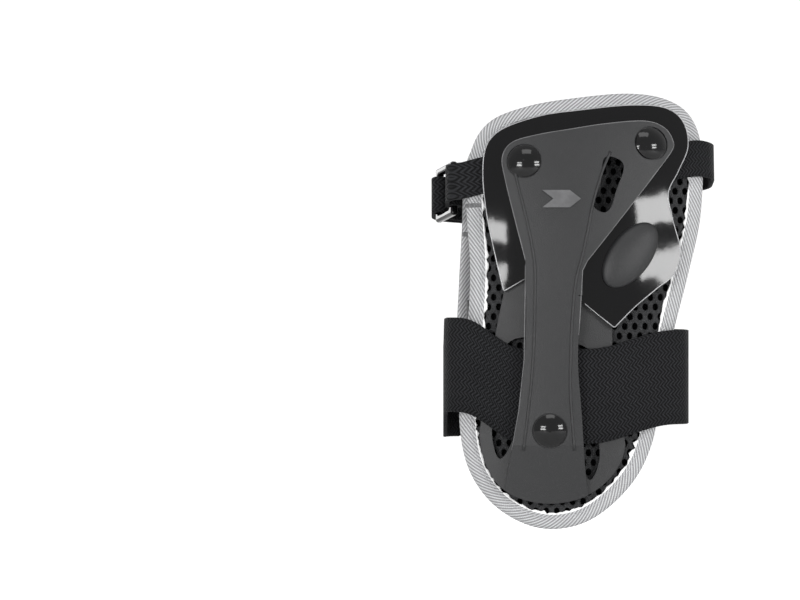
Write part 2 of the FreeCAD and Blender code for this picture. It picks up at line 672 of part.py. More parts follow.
def ribbon(stations, width):
    """The outline of webbing whose middle passes through (x, height) stations."""
    over = [(x, middle + width / 2) for x, middle in stations]
    under = [(x, middle - width / 2) for x, middle in reversed(stations)]
    return over + under


# Wrist strap: the middle's height at each station, across the hand.
WRIST = size("wrist_webbing_width")
WRIST_LOW, WRIST_HIGH = -41.5 * ACROSS, 54.5 * ACROSS
CORNER = 6
WRIST_JOIN = 5 * ACROSS
PINKY_CUT, THUMB_CUT = WRIST_LOW + 5, WRIST_HIGH - 5
PALM_LEFT_HEIGHT, SPINE_HEIGHT, PALM_RIGHT_HEIGHT = 8, -4.5, 3
BACK_HEIGHT, FLAP_HEIGHT = 3.5, -3.5
BASE_END, FLAP_END = -34 * ACROSS, 43.6 * ACROSS
SPINE_LEFT, SPINE_RIGHT = -12 * ACROSS, 15 * ACROSS

thumb_track = track("wrist_thumb_track", PLATE_IN, UNDER_STRAP, 2 * WRIST_LOW, WRIST_HIGH, CORNER,
                    False)
pinky_track = track("wrist_pinky_track", PLATE_IN, FLAP_IN, WRIST_LOW, 1.4 * WRIST_HIGH, CORNER,
                    False)
palm_right_zone = zone("palm_right_zone", ribbon(
    [(WRIST_JOIN, SPINE_HEIGHT), (SPINE_RIGHT, SPINE_HEIGHT), (THUMB_CUT, PALM_RIGHT_HEIGHT)],
    WRIST), -REACH, 0)
thumb_side_zone = zone("thumb_side_zone", ribbon(
    [(-REACH, PALM_RIGHT_HEIGHT), (REACH, PALM_RIGHT_HEIGHT)], WRIST), THUMB_CUT, REACH, "X")
base_zone = zone("base_zone", ribbon(
    [(BASE_END, BACK_HEIGHT), (THUMB_CUT, PALM_RIGHT_HEIGHT)], WRIST), 0, REACH)
palm_left_zone = zone("palm_left_zone", ribbon(
    [(PINKY_CUT, PALM_LEFT_HEIGHT), (SPINE_LEFT, SPINE_HEIGHT), (WRIST_JOIN, SPINE_HEIGHT)],
    WRIST), -REACH, 0)
pinky_side_zone = zone("pinky_side_zone", ribbon(
    [(-REACH, PALM_LEFT_HEIGHT), (-16, PALM_LEFT_HEIGHT), (17, FLAP_HEIGHT), (REACH, FLAP_HEIGHT)],
    WRIST), -REACH, PINKY_CUT, "X")
wrist_strap_whole = fuse(
    "wrist_strap_whole", common("palm_right", thumb_track, palm_right_zone),
    common("thumb_side", thumb_track, thumb_side_zone), common("base_run", thumb_track, base_zone),
    common("palm_left", pinky_track, palm_left_zone),
    common("pinky_side", pinky_track, pinky_side_zone))
parts["wrist_strap"] = cut("wrist_strap", wrist_strap_whole, post_holes[2])
FOLD_GAP = size("closure_gap")
flap_zone = zone("flap_zone", ribbon(
    [(PINKY_CUT + FOLD_GAP, FLAP_HEIGHT), (FLAP_END, FLAP_HEIGHT)], WRIST), 0, REACH)
parts["wrist_strap_flap"] = common("wrist_strap_flap", pinky_track, flap_zone)


def patch(name, left, right, middle, width, inner, outer):
    """A flat patch on the back's straps, between two depths."""
    outline = named("Part::Feature", name + "_outline")
    corners = [(left, middle - width / 2), (right, middle - width / 2), (right, middle + width / 2),
               (left, middle + width / 2)]
    places = [V(x, 0, z) for x, z in corners]
    outline.Shape = Part.Face(Part.makePolygon(places + places[:1]))
    return layer(name, "back", inner, outer, outline)


parts["wrist_loop_patch"] = patch(
    "wrist_loop_patch", -30 * ACROSS, 46 * ACROSS, BACK_HEIGHT - 1, WRIST - 5, LOOP_IN, LOOP_TOP)
parts["wrist_hook_patch"] = patch(
    "wrist_hook_patch", -12 * ACROSS, 42 * ACROSS, FLAP_HEIGHT, WRIST - 5, HOOK_IN, HOOK_TOP)

LABEL = {"left": -23.6, "right": 39.2, "middle": -4.5, "width": 29}
label = rectangle("label_outline", LABEL["left"], LABEL["right"],
                  LABEL["middle"] - LABEL["width"] / 2, LABEL["middle"] + LABEL["width"] / 2)
parts["label_patch"] = layer("label_patch", "back", LABEL_IN, LABEL_TOP, label)
stitch_outer, stitch_inner = inset("stitch_outer", label, 2.3), inset("stitch_inner", label, 2.9)
stitch_band = cut("stitch_band", prism(stitch_outer, "back"), prism(stitch_inner, "back"))
parts["label_stitching"] = common(
    "label_stitching", shell("back", MARK_IN, MARK_TOP), stitch_band)
bars = []
for number in range(3):
    left, low, high, lean, wide = -4 + 8.5 * number, -4.5, 6.5, 6, 4.6
    outline = flat(f"mark_bar_{number + 1}", ("lines", [
        (left, low), (left + wide, low), (left + wide + lean, high), (left + lean, high),
        (left, low)]))
    bars.append(prism(outline, "back"))
bars.append(prism(rectangle("mark_line", -14, 28, -11.5, -9), "back"))
parts["label_mark"] = common(
    "label_mark", shell("back", MARK_IN, MARK_TOP), fuse("mark_bars", *bars))

# Hand strap: built level, then leaned back with the hand.
HAND = size("hand_webbing_width")
RING_TURN = size("ring_bar") / 2 + size("ring_turn_gap")
HAND_LEVEL, THUMB_LEVEL = -1.5, 9.5
OUTER_BAR = V(-44.5 * ACROSS, 9, HAND_LEVEL)
RING_TILT = 111.5
BAR_TO_BAR = size("ring_length") - size("ring_bar")
INNER_BAR = OUTER_BAR - V(math.cos(math.radians(RING_TILT)), math.sin(math.radians(RING_TILT)),
                          0) * BAR_TO_BAR
HAND_HIGH = 66 * ACROSS
SLANT_START, SLANT_END = 38 * ACROSS, 62 * ACROSS
ANCHOR_END = 43.5 * ACROSS
HAND_FLAP_END, TAB_END = 15.6 * ACROSS, 28.6 * ACROSS

under_track = track("hand_under_track", HAND_ANCHOR, UNDER_STRAP, OUTER_BAR.x + RING_TURN + THICK,
                    HAND_HIGH, CORNER, True)
flap_track = track("hand_flap_track", HAND_ANCHOR, FLAP_IN, OUTER_BAR.x - RING_TURN, 1.2 * HAND_HIGH,
                   CORNER, True)
tab_track = track("hand_tab_track", HAND_ANCHOR, FLAP_IN, INNER_BAR.x - RING_TURN, 1.2 * HAND_HIGH,
                  CORNER, True)
back_run = zone("hand_back_zone", ribbon(
    [(OUTER_BAR.x, HAND_LEVEL), (SLANT_START, HAND_LEVEL), (SLANT_END, THUMB_LEVEL),
     (HAND_HIGH + THICK, THUMB_LEVEL)], HAND), OUTER_BAR.y, REACH)
thumb_run = zone("hand_thumb_zone", ribbon(
    [(SLANT_END, THUMB_LEVEL), (HAND_HIGH + THICK, THUMB_LEVEL)], HAND), -REACH, OUTER_BAR.y)
anchor_run = zone("hand_anchor_zone", ribbon(
    [(ANCHOR_END, THUMB_LEVEL - 4), (SLANT_END, THUMB_LEVEL)], HAND), -REACH, 0)


def leaned(made):
    made.Placement = HAND_FRAME
    return made


hand_runs = [common(f"hand_run_{number}", under_track, run)
             for number, run in enumerate((back_run, thumb_run, anchor_run), 1)]
plate_space = layer("plate_space", "palm", PLATE_IN.plus("-layer_gap"), PLATE_TOP, plate_clear)
parts["hand_strap"] = cut("hand_strap", leaned(fuse("hand_strap_whole", *hand_runs)), plate_space)
flap_run = zone("hand_flap_zone", ribbon(
    [(OUTER_BAR.x - 20, HAND_LEVEL), (HAND_FLAP_END, HAND_LEVEL)], HAND),
    OUTER_BAR.y + FOLD_GAP, REACH)
parts["hand_strap_flap"] = leaned(common("hand_strap_flap", flap_track, flap_run))


def round_bar(name, centre, below):
    """Webbing turned round a ring's bar; only the half below the bar's middle when asked."""
    outer, inner = named("Part::Cylinder", name + "_outer"), named("Part::Cylinder", name + "_inner")
    inner.setExpression("Radius", "Sizes.ring_bar / 2 + Sizes.ring_turn_gap")
    outer.setExpression(
        "Radius", "Sizes.ring_bar / 2 + Sizes.ring_turn_gap + Sizes.webbing_thickness")
    for drum in (outer, inner):
        drum.setExpression("Height", "Sizes.hand_webbing_width")
        drum.Placement.Base = centre - V(0, 0, HAND / 2)
        if below:
            drum.Placement.Rotation = FreeCAD.Rotation(V(0, 0, 1), 180)
            drum.Angle = 180
    return cut(name, outer, inner)


turn = round_bar("hand_strap_turn", OUTER_BAR - V(0, FOLD_GAP, 0), True)
parts["hand_strap_turn"] = leaned(turn)
tab_run = zone("tab_zone", ribbon(
    [(INNER_BAR.x - 20, HAND_LEVEL), (INNER_BAR.x + 3, HAND_LEVEL), (-20 * ACROSS, HAND_LEVEL + 3)],
    HAND), -REACH, INNER_BAR.y)
tab_strip = common("tab_strip", tab_track, tab_run)
tab_hole = named("Part::Cylinder", "tab_hole")
tab_hole.setExpression("Radius", "Sizes.ring_bar / 2 + Sizes.ring_turn_gap")
tab_hole.Height = REACH
tab_hole.Placement.Base = INNER_BAR - V(0, 0, REACH / 2)
parts["ring_tab"] = leaned(cut(
    "ring_tab", fuse("tab_whole", tab_strip, round_bar("tab_turn", INNER_BAR, False)), tab_hole))


def ring_body():
    """The strap ring: a rounded rectangular frame, drawn flat and padded by a bar's thickness."""
    body = named("PartDesign::Body", "strap_ring")
    sketch = body.newObject("Sketcher::SketchObject", "strap_ring_frame")
    plane = [p for p in body.Origin.OriginFeatures if p.Role == "XY_Plane"][0]
    sketch.AttachmentSupport = (plane, "")
    sketch.MapMode = "FlatFace"
    outer_height = "(Sizes.hand_webbing_width / 2 + Sizes.ring_play + Sizes.ring_bar)"
    frames = [("Sizes.ring_length / 2", outer_height),
              ("Sizes.ring_length / 2 - Sizes.ring_bar", outer_height + " - Sizes.ring_bar")]
    half_length = size("ring_length") / 2
    half_height = HAND / 2 + size("ring_play") + size("ring_bar")
    for number, texts in enumerate(frames):
        a, b = half_length - number * size("ring_bar"), half_height - number * size("ring_bar")
        corners = [V(-a, -b, 0), V(a, -b, 0), V(a, b, 0), V(-a, b, 0)]
        first = len(sketch.Geometry)
        for p, q in zip(corners, corners[1:] + corners[:1]):
            sketch.addGeometry(Part.LineSegment(p, q))
        for step in range(4):
            line, following = first + step, first + (step + 1) % 4
            sketch.addConstraint(Sketcher.Constraint("Coincident", line, 2, following, 1))
            direction = "Horizontal" if step % 2 == 0 else "Vertical"
            sketch.addConstraint(Sketcher.Constraint(direction, line))
        sketch.addConstraint(Sketcher.Constraint("Symmetric", first, 1, first + 2, 1, -1, 1))
        for kind, number_now, text in (("DistanceX", a, texts[0]), ("DistanceY", b, texts[1])):
            rule = Sketcher.Constraint(kind, -1, 1, first + 2, 1, number_now)
            sketch.setExpression(f"Constraints[{sketch.addConstraint(rule)}]", text)
    pad = body.newObject("PartDesign::Pad", "strap_ring_pad")
    pad.Profile = sketch
    pad.setExpression("Length", "Sizes.ring_bar")
    pad.Midplane = True
    doc.recompute()
    rounds = body.newObject("PartDesign::Fillet", "strap_ring_rounds")
    rounds.Base = (pad, [f"Edge{n}" for n in range(1, len(pad.Shape.Edges) + 1)])
    rounds.setExpression("Radius", "Sizes.ring_bar * 0.38")
    body.Tip = rounds
    middle = (INNER_BAR + OUTER_BAR) * 0.5
    across = (OUTER_BAR - INNER_BAR).normalize()
    turn_in = FreeCAD.Rotation(across, V(0, 0, 1), V(0, 0, 0), "XYZ")
    body.Placement = HAND_FRAME * FreeCAD.Placement(middle, turn_in)
    return body


parts["strap_ring"] = ring_body()

HAND_FLAT = size("hand_strap_height") + HAND_LEVEL * math.cos(math.radians(HAND_LEAN))
parts["hand_loop_patch"] = patch("hand_loop_patch", 0, TAB_END, HAND_FLAT, HAND - 2, LOOP_IN,
                                 LOOP_TOP)
parts["hand_hook_patch"] = patch("hand_hook_patch", 4 * ACROSS, TAB_END, HAND_FLAT, HAND - 2,
                                 HOOK_IN, HOOK_TOP.plus("-layer_gap"))
tab_outline = flat("pull_tab_outline", ("lines", [
    (15.6, 70.5), (28.6, 70.5), (28.6, 92), (32.4, 92), (32.4, 107.5), (15.6, 107.5), (15.6, 70.5)]))
parts["hand_pull_tab"] = layer("hand_pull_tab", "back", FLAP_IN, FLAP_TOP, tab_outline)

keeper_outline = flat("keeper_outline", ("lines", [
    (29.2, 61.5), (36.6, 61.5), (37.4, 91), (30, 91), (29.2, 61.5)]))
keeper_arch = layer("keeper_arch", "back", LOOP_IN, KEEPER_TOP, keeper_outline)
keeper_feet = [common(f"keeper_foot_{number}", shell("back", COVER_IN, KEEPER_TOP),
                      prism(keeper_outline, "back"),
                      zone(f"keeper_foot_room_{number}",
                           [(20, low), (45, low), (45, high), (20, high)], 0, REACH))
               for number, (low, high) in enumerate(((60 * ALONG, 63 * ALONG),
                                                     (90 * ALONG, 92 * ALONG)), 1)]
parts["strap_keeper"] = fuse("strap_keeper", keeper_arch, *keeper_feet)
keeper_tack = rectangle("keeper_tack_room", 28.8, 37, 58.5, 61.3)
parts["keeper_bar_tack"] = layer("keeper_bar_tack", "back", COVER_IN, TACK_IN, keeper_tack)

# --- checks and files ------------------------------------------------------------------------

doc.recompute()
failed = [o.Label for o in doc.Objects if "Invalid" in o.State or "Error" in o.State]
if failed:
    raise RuntimeError("failed objects: " + ", ".join(failed))
for name, made in parts.items():
    if made.Shape.isNull() or not made.Shape.isValid() or not made.Shape.Solids:
        raise RuntimeError("no valid solid for " + name)
os.makedirs("parts", exist_ok=True)
for name, made in parts.items():
    made.Label = name
    plain = name.endswith(("rivet", "washer", "tab", "turn"))
    solid = made.Shape if plain else made.Shape.toNurbs()
    solid.exportStep(f"parts/{name}.step")
    print(name, round(made.Shape.Volume), "mm3", len(made.Shape.Solids), "solid")
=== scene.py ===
import math

import bmesh
import bpy
from mathutils import Matrix, Vector, noise


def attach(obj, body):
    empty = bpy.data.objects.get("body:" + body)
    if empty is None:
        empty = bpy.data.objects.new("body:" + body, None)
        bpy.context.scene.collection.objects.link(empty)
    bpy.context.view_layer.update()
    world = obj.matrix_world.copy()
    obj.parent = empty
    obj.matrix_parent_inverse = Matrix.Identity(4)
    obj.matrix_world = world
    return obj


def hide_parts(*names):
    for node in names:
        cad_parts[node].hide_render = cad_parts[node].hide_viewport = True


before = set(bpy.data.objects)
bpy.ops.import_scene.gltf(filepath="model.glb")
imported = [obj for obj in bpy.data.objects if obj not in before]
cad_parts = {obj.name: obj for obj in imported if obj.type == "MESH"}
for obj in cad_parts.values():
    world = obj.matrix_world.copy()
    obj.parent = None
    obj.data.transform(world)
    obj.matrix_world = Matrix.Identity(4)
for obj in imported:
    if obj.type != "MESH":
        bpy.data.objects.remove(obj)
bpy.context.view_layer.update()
MM = 0.001

# Webbing widths and thickness, and the height of the hand strap's middle, in millimetres.
WIDE, NARROW, THICK, HAND_HEIGHT = 38, 15, 1.5, 80

# --- the guard's two wrapped sides, in millimetres -------------------------------------------

MIDDLE, WRAP, BEND, HALF_GAP, BEND_START = 5, 105, 240, 18, 35


def surface(side, x, z, depth):
    """The point over (x, z) at a depth of one side, and the outward normal there."""
    sign = 1 if side == "palm" else -1
    radius = BEND + sign * (HALF_GAP + depth)
    lean = math.asin(max(0, z - BEND_START) / radius)
    centre = WRAP - HALF_GAP - sign * BEND
    reach = centre + sign * radius * math.cos(lean)
    turn = math.asin(max(-1, min(1, (x - MIDDLE) / reach)))
    point = Vector((x, sign * (WRAP - HALF_GAP - reach * math.cos(turn)), z))
    normal = Vector((math.cos(lean) * math.sin(turn), -sign * math.cos(lean) * math.cos(turn),
                     sign * math.sin(lean)))
    return point, normal


def spline(points, steps=8, closed=True):
    """A smooth line through points (Catmull-Rom)."""
    count = len(points)
    line = []
    for n in range(count if closed else count - 1):
        quad = [points[(n + k) % count] if closed else points[max(0, min(count - 1, n + k))]
                for k in (-1, 0, 1, 2)]
        for step in range(steps):
            t = step / steps
            line.append(tuple(
                0.5 * (2 * b + (c - a) * t + (2 * a - 5 * b + 4 * c - d) * t * t
                       + (3 * b - a - 3 * c + d) * t ** 3) for a, b, c, d in zip(*quad)))
    if not closed:
        line.append(points[-1])
    return line


def drawn_in(loop, distance):
    """A clockwise loop's points, each moved inwards by a distance."""
    moved = []
    for n, (x, z) in enumerate(loop):
        (ax, az), (bx, bz) = loop[n - 1], loop[(n + 1) % len(loop)]
        dx, dz = bx - ax, bz - az
        long = math.hypot(dx, dz)
        moved.append((x + dz / long * distance, z - dx / long * distance))
    return moved


def inside(loop, x, z):
    hit = False
    for n, (ax, az) in enumerate(loop):
        bx, bz = loop[n - 1]
        if (az > z) != (bz > z) and x < (bx - ax) * (z - az) / (bz - az) + ax:
            hit = not hit
    return hit


def gap_to(loop, x, z):
    """The distance from (x, z) to a loop's nearest point on its edges."""
    best = 1e9
    for n, (ax, az) in enumerate(loop):
        bx, bz = loop[n - 1]
        dx, dz = bx - ax, bz - az
        t = max(0, min(1, ((x - ax) * dx + (z - az) * dz) / (dx * dx + dz * dz + 1e-12)))
        best = min(best, math.hypot(x - ax - t * dx, z - az - t * dz))
    return best


EDGES = {
    "palm": spline([
        (-34, 73), (-32.5, 93), (-24.8, 106), (-9.2, 112.5), (11.2, 116), (32.4, 117.9),
        (48, 115.7), (58.2, 108.5), (62.5, 94), (61.4, 68), (56.2, 45.3), (50, 22), (44.8, 0),
        (41.2, -22.8), (32, -40.7), (15, -54.8), (-4, -57.8), (-21.5, -49.9), (-32.8, -35),
        (-36.8, -15), (-35.4, 8), (-33, 31), (-32.6, 50)], 12),
    "back": spline([
        (-35.4, 62), (-34.4, 85), (-30.2, 97.6), (-20, 105.8), (-2.2, 111), (16.4, 112.8),
        (33, 111), (44.5, 106.5), (51, 98.5), (52.3, 86), (49.8, 64), (46.9, 39), (44.4, 8),
        (39.8, -24), (31.2, -38), (19, -46), (4, -48.9), (-13, -44), (-26, -32), (-34, -7),
        (-37.2, 18), (-36.6, 40)], 12),
}

# --- materials ---------------------------------------------------------------------------------


class Nodes:
    """One node material, built in a line at a time."""

    def __init__(self, name, colour, rough, solid=False, **constants):
        self.solid = solid
        self.made = bpy.data.materials.new(name)
        self.made.use_nodes = True
        self.tree = self.made.node_tree
        self.shader = self.tree.nodes["Principled BSDF"]
        self.shader.inputs["Base Color"].default_value = (*colour, 1)
        self.shader.inputs["Roughness"].default_value = rough
        self.colour = colour
        for socket, value in constants.items():
            self.shader.inputs[socket.replace("_", " ")].default_value = value
        self.height = None

    def node(self, kind, values=None, **settings):
        made = self.tree.nodes.new(kind)
        for key, value in settings.items():
            setattr(made, key, value)
        for key, value in (values or {}).items():
            if hasattr(value, "is_output"):
                self.tree.links.new(value, made.inputs[key])
            else:
                made.inputs[key].default_value = value
        return made

    def math(self, operation, a, b=0.0):
        return self.node("ShaderNodeMath", {0: a, 1: b}, operation=operation).outputs[0]

    def place(self):
        return self.node("ShaderNodeTexCoord").outputs["Object"]

    def noise(self, scale, detail=3, rough=0.6):
        return self.node("ShaderNodeTexNoise", {
            "Vector": self.place(), "Scale": scale, "Detail": detail,
            "Roughness": rough}).outputs["Fac"]

    def voronoi(self, scale, feature="F1"):
        return self.node("ShaderNodeTexVoronoi", {"Vector": self.place(), "Scale": scale},
                         feature=feature).outputs["Distance"]

    def flat(self):
        """The piece's own coordinates along and across its cloth, in metres."""
        if self.solid:
            split = self.node("ShaderNodeSeparateXYZ", {0: self.place()})
            return self.math("ADD", split.outputs[0], split.outputs[1]), split.outputs[2]
        split = self.node("ShaderNodeSeparateXYZ", {
            0: self.node("ShaderNodeUVMap", uv_map="cloth").outputs[0]})
        return split.outputs[0], split.outputs[1]

    def wave(self, value, period):
        turned = self.math("MULTIPLY", value, 2 * math.pi / period)
        return self.math("ADD", self.math("MULTIPLY", self.math("SINE", turned), 0.5), 0.5)

    def add(self, value, amount):
        """Adds a height in the bump, in metres."""
        term = self.math("MULTIPLY", value, amount)
        self.height = term if self.height is None else self.math("ADD", self.height, term)
        return self

    def tint(self, value, dark, light):
        """Mixes the colour between two shades of it by a value."""
        mixed = self.node("ShaderNodeMix", data_type="RGBA")
        sockets = [s for s in mixed.inputs if s.type == "RGBA"]
        previous = self.shader.inputs["Base Color"]
        self.tree.links.new(value, mixed.inputs[0])
        if previous.is_linked:
            source = previous.links[0].from_socket
            for socket, share in zip(sockets, (dark, light)):
                scaled = self.node("ShaderNodeMix", data_type="RGBA", blend_type="MULTIPLY")
                pair = [s for s in scaled.inputs if s.type == "RGBA"]
                scaled.inputs[0].default_value = 1
                self.tree.links.new(source, pair[0])
                pair[1].default_value = (share, share, share, 1)
                out = [s for s in scaled.outputs if s.type == "RGBA"][0]
                self.tree.links.new(out, socket)
        else:
            for socket, share in zip(sockets, (dark, light)):
                socket.default_value = (*[min(1, c * share) for c in self.colour], 1)
        out = [s for s in mixed.outputs if s.type == "RGBA"][0]
        self.tree.links.new(out, previous)
        return self

    def gloss(self, value, low, high):
        spread = self.node("ShaderNodeMapRange", {0: value, 3: low, 4: high}).outputs[0]
        self.tree.links.new(spread, self.shader.inputs["Roughness"])
        return self

    def done(self, strength=1.0):
        if self.height is not None:
            bump = self.node("ShaderNodeBump", {
                "Height": self.height, "Distance": 1.0, "Strength": strength})
            self.tree.links.new(bump.outputs[0], self.shader.inputs["Normal"])
        return self.made


def herringbone(made, rib, step):
    """Slanted ribs that change side at every step across the cloth."""
    along, across = made.flat()
    zigzag = made.math("PINGPONG", across, step)
    return made.wave(made.math("ADD", along, zigzag), rib)


def plastic_gloss():
    made = Nodes("gloss_black_plastic", (0.0008, 0.0008, 0.001), 0.08, Specular_IOR_Level=0.2)
    scuffs = made.noise(700, 6, 0.75)
    made.gloss(scuffs, 0.03, 0.09).add(made.noise(42, 1), 0.0002).add(scuffs, 0.000005)
    return made.tint(made.noise(90), 0.8, 1.35).done()


def plastic_matte():
    made = Nodes("matte_grey_plastic", (0.0085, 0.0087, 0.0093), 0.5, Specular_IOR_Level=0.3)
    grains = made.voronoi(2600)
    made.gloss(made.noise(60), 0.42, 0.58).add(grains, 0.00006)
    return made.tint(made.noise(35, 4), 0.86, 1.16).done()


# Light grey plastic for thin pieces along edges: a painted highlight for the bright lines light
# makes on bevels, broken into patches by noise.
def painted_highlight_plastic(name, colour, rough):
    made = Nodes(name, colour, rough, Specular_IOR_Level=0.6)
    highlight_patches = made.noise(160, 5, 0.7)
    return made.tint(highlight_patches, 0.25, 1.7).gloss(highlight_patches, rough * 0.7, rough * 1.3).done()


def rivet_plastic():
    made = Nodes("rivet_cap_plastic", (0.001, 0.001, 0.0012), 0.1, Specular_IOR_Level=0.25)
    made.gloss(made.noise(500, 5), 0.06, 0.14).add(made.noise(300), 0.00004)
    return made.tint(made.noise(120), 0.8, 1.3).done()


def metal():
    made = Nodes("washer_steel", (0.45, 0.45, 0.46), 0.35, Metallic=1.0)
    return made.gloss(made.noise(900, 5), 0.28, 0.46).tint(made.noise(200), 0.85, 1.1).done()


def webbing(name, colour, rib=0.0016, step=0.0019, depth=0.0003, solid=False):
    made = Nodes(name, colour, 0.78, solid, Specular_IOR_Level=0.08)
    ribs = herringbone(made, rib, step)
    along, across = made.flat()
    yarn = made.wave(across, 0.00075)
    picks = made.wave(along, 0.0011)
    made.add(ribs, depth).add(made.math("MULTIPLY", yarn, picks), depth * 0.45)
    made.add(made.noise(1400, 4), depth * 0.3)
    return made.tint(ribs, 0.2, 2.1).tint(made.noise(45), 0.8, 1.2).done()


def twill(name, colour, rib=0.0021, depth=0.00022):
    made = Nodes(name, colour, 0.85, Specular_IOR_Level=0.2)
    along, across = made.flat()
    ribs = made.wave(made.math("ADD", along, made.math("MULTIPLY", across, 1.6)), rib)
    yarn = made.wave(made.math("SUBTRACT", along, across), rib * 0.55)
    made.add(ribs, depth).add(yarn, depth * 0.4).add(made.noise(1800, 3), depth * 0.4)
    return made.tint(ribs, 0.5, 1.25).tint(made.noise(70, 4), 0.86, 1.12).done()


def spacer():
    made = Nodes("spacer_mesh_knit", (0.0125, 0.0128, 0.0135), 0.8, Specular_IOR_Level=0.25)
    knit = made.voronoi(1500)
    made.add(knit, 0.00035).add(made.noise(900), 0.0001)
    return made.tint(knit, 0.6, 1.9).tint(made.noise(30), 0.85, 1.15).done()


def leather():
    made = Nodes("grained_synthetic_leather", (0.006, 0.0062, 0.0068), 0.42, Specular_IOR_Level=0.4)
    grain = made.voronoi(950)
    creases = made.voronoi(300, "DISTANCE_TO_EDGE")
    made.add(grain, 0.0002).add(creases, 0.00015).add(made.noise(55, 3), 0.0004)
    return made.gloss(grain, 0.4, 0.62).tint(grain, 0.75, 1.5).tint(
        made.noise(25), 0.85, 1.2).done()


def knit():
    made = Nodes("brushed_knit_lining", (0.008, 0.0082, 0.009), 0.9, Specular_IOR_Level=0.15)
    loops = made.voronoi(1300)
    made.add(loops, 0.0003).add(made.noise(2400), 0.00012)
    return made.tint(loops, 0.6, 1.6).tint(made.noise(28), 0.85, 1.15).done()


def foam():
    made = Nodes("open_cell_foam", (0.003, 0.003, 0.0033), 0.95, Specular_IOR_Level=0.1)
    cells = made.voronoi(1100)
    return made.add(cells, 0.0005).tint(cells, 0.6, 1.6).done()


def pile(name, colour):
    made = Nodes(name, colour, 0.95, Specular_IOR_Level=0.1)
    loops = made.voronoi(1900)
    made.add(loops, 0.0007).add(made.noise(2600, 5), 0.0005)
    return made.tint(loops, 0.45, 2.0).tint(made.noise(60), 0.8, 1.2).done()


def rubber(name, colour, rough=0.55):
    made = Nodes(name, colour, rough)
    grain = made.noise(2200, 4)
    made.add(grain, 0.00008).gloss(made.noise(150), rough - 0.08, rough + 0.1)
    return made.tint(grain, 0.92, 1.07).tint(made.noise(40), 0.94, 1.05).done()


def thread(name, colour):
    made = Nodes(name, colour, 0.75, Specular_IOR_Level=0.25)
    twist = made.noise(3200, 4)
    return made.add(twist, 0.0002).tint(twist, 0.7, 1.2).done()


GLOSS, MATTE, RIVET, STEEL = plastic_gloss(), plastic_matte(), rivet_plastic(), metal()
WEBBING = webbing("black_herringbone_webbing", (0.0062, 0.0064, 0.007))
SOLID_WEBBING = webbing("black_webbing_on_solids", (0.0062, 0.0064, 0.007), solid=True)
TAPE = webbing("grey_herringbone_tape", (0.20, 0.203, 0.21), 0.0016, 0.0021, 0.00014)
BINDING = twill("light_grey_twill_binding", (0.29, 0.292, 0.298))
BINDING_RAW = thread("frayed_white_edge", (0.7, 0.7, 0.7))
# Painted highlights: light grey colours that stand in for light catching the plate's and the
# splint's edges.
PLATE_HIGHLIGHT = painted_highlight_plastic("painted_highlight_plate_edge", (0.20, 0.20, 0.205), 0.2)
SPLINT_HIGHLIGHT = painted_highlight_plastic("painted_highlight_splint_edge", (0.05, 0.05, 0.052), 0.35)
SPACER, LEATHER, KNIT, FOAM = spacer(), leather(), knit(), foam()
HOOK = pile("hook_pile", (0.004, 0.004, 0.0045))
LOOP = pile("loop_pile", (0.007, 0.007, 0.008))
LABEL = rubber("grey_label_rubber", (0.20, 0.20, 0.205))
LABEL_EDGE = rubber("white_label_edge", (0.75, 0.75, 0.74))
YELLOW = rubber("yellow_print", (0.75, 0.62, 0.03), 0.4)
WHITE_THREAD = thread("white_thread", (0.78, 0.78, 0.77))
BLACK_THREAD = thread("black_thread", (0.005, 0.005, 0.0055))
GREY_THREAD = thread("light_grey_thread", (0.33, 0.33, 0.34))


# --- mesh helpers --------------------------------------------------------------------------------


def piece(name, verts, faces, material, body, nodes=(), uvs=None, extra=()):
    """A mesh piece in metres from millimetre vertices; uvs are one pair a vertex, in metres."""
    mesh = bpy.data.meshes.new(name)
    mesh.from_pydata([tuple(Vector(v) * MM) for v in verts], [], faces)
    mesh.materials.append(material)
    for other in extra:
        mesh.materials.append(other)
    if uvs:
        layer = mesh.uv_layers.new(name="cloth")
        for loop in mesh.loops:
            layer.data[loop.index].uv = uvs[loop.vertex_index]
    mesh.validate()
    for polygon in mesh.polygons:
        polygon.use_smooth = True
    made = bpy.data.objects.new(name, mesh)
    bpy.context.scene.collection.objects.link(made)
    if nodes:
        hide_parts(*nodes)
    if body:
        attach(made, body)
    return made


def outward(made):
    """Turns all of a closed mesh's faces to look outwards."""
    build = bmesh.new()
    build.from_mesh(made.data)
    bmesh.ops.recalc_face_normals(build, faces=build.faces)
    build.to_mesh(made.data)
    build.free()
    return made


def bevel(made, width, segments=2, angle=40):
    modifier = made.modifiers.new("edges", "BEVEL")
    modifier.width = width * MM
    modifier.segments = segments
    modifier.limit_method = "ANGLE"
    modifier.angle_limit = math.radians(angle)
    return made


def loft(sections, closed_path=False):
    """Quads through rings of points; returns vertices and faces, with capped ends."""
    around = len(sections[0])
    verts = [point for ring in sections for point in ring]
    faces = []
    last = len(sections) if closed_path else len(sections) - 1
    for n in range(last):
        a, b = n * around, (n + 1) % len(sections) * around
        faces += [(a + k, a + (k + 1) % around, b + (k + 1) % around, b + k)
                  for k in range(around)]
    if not closed_path:
        faces.append(tuple(reversed(range(around))))
        faces.append(tuple(range((len(sections) - 1) * around, len(sections) * around)))
    return verts, faces


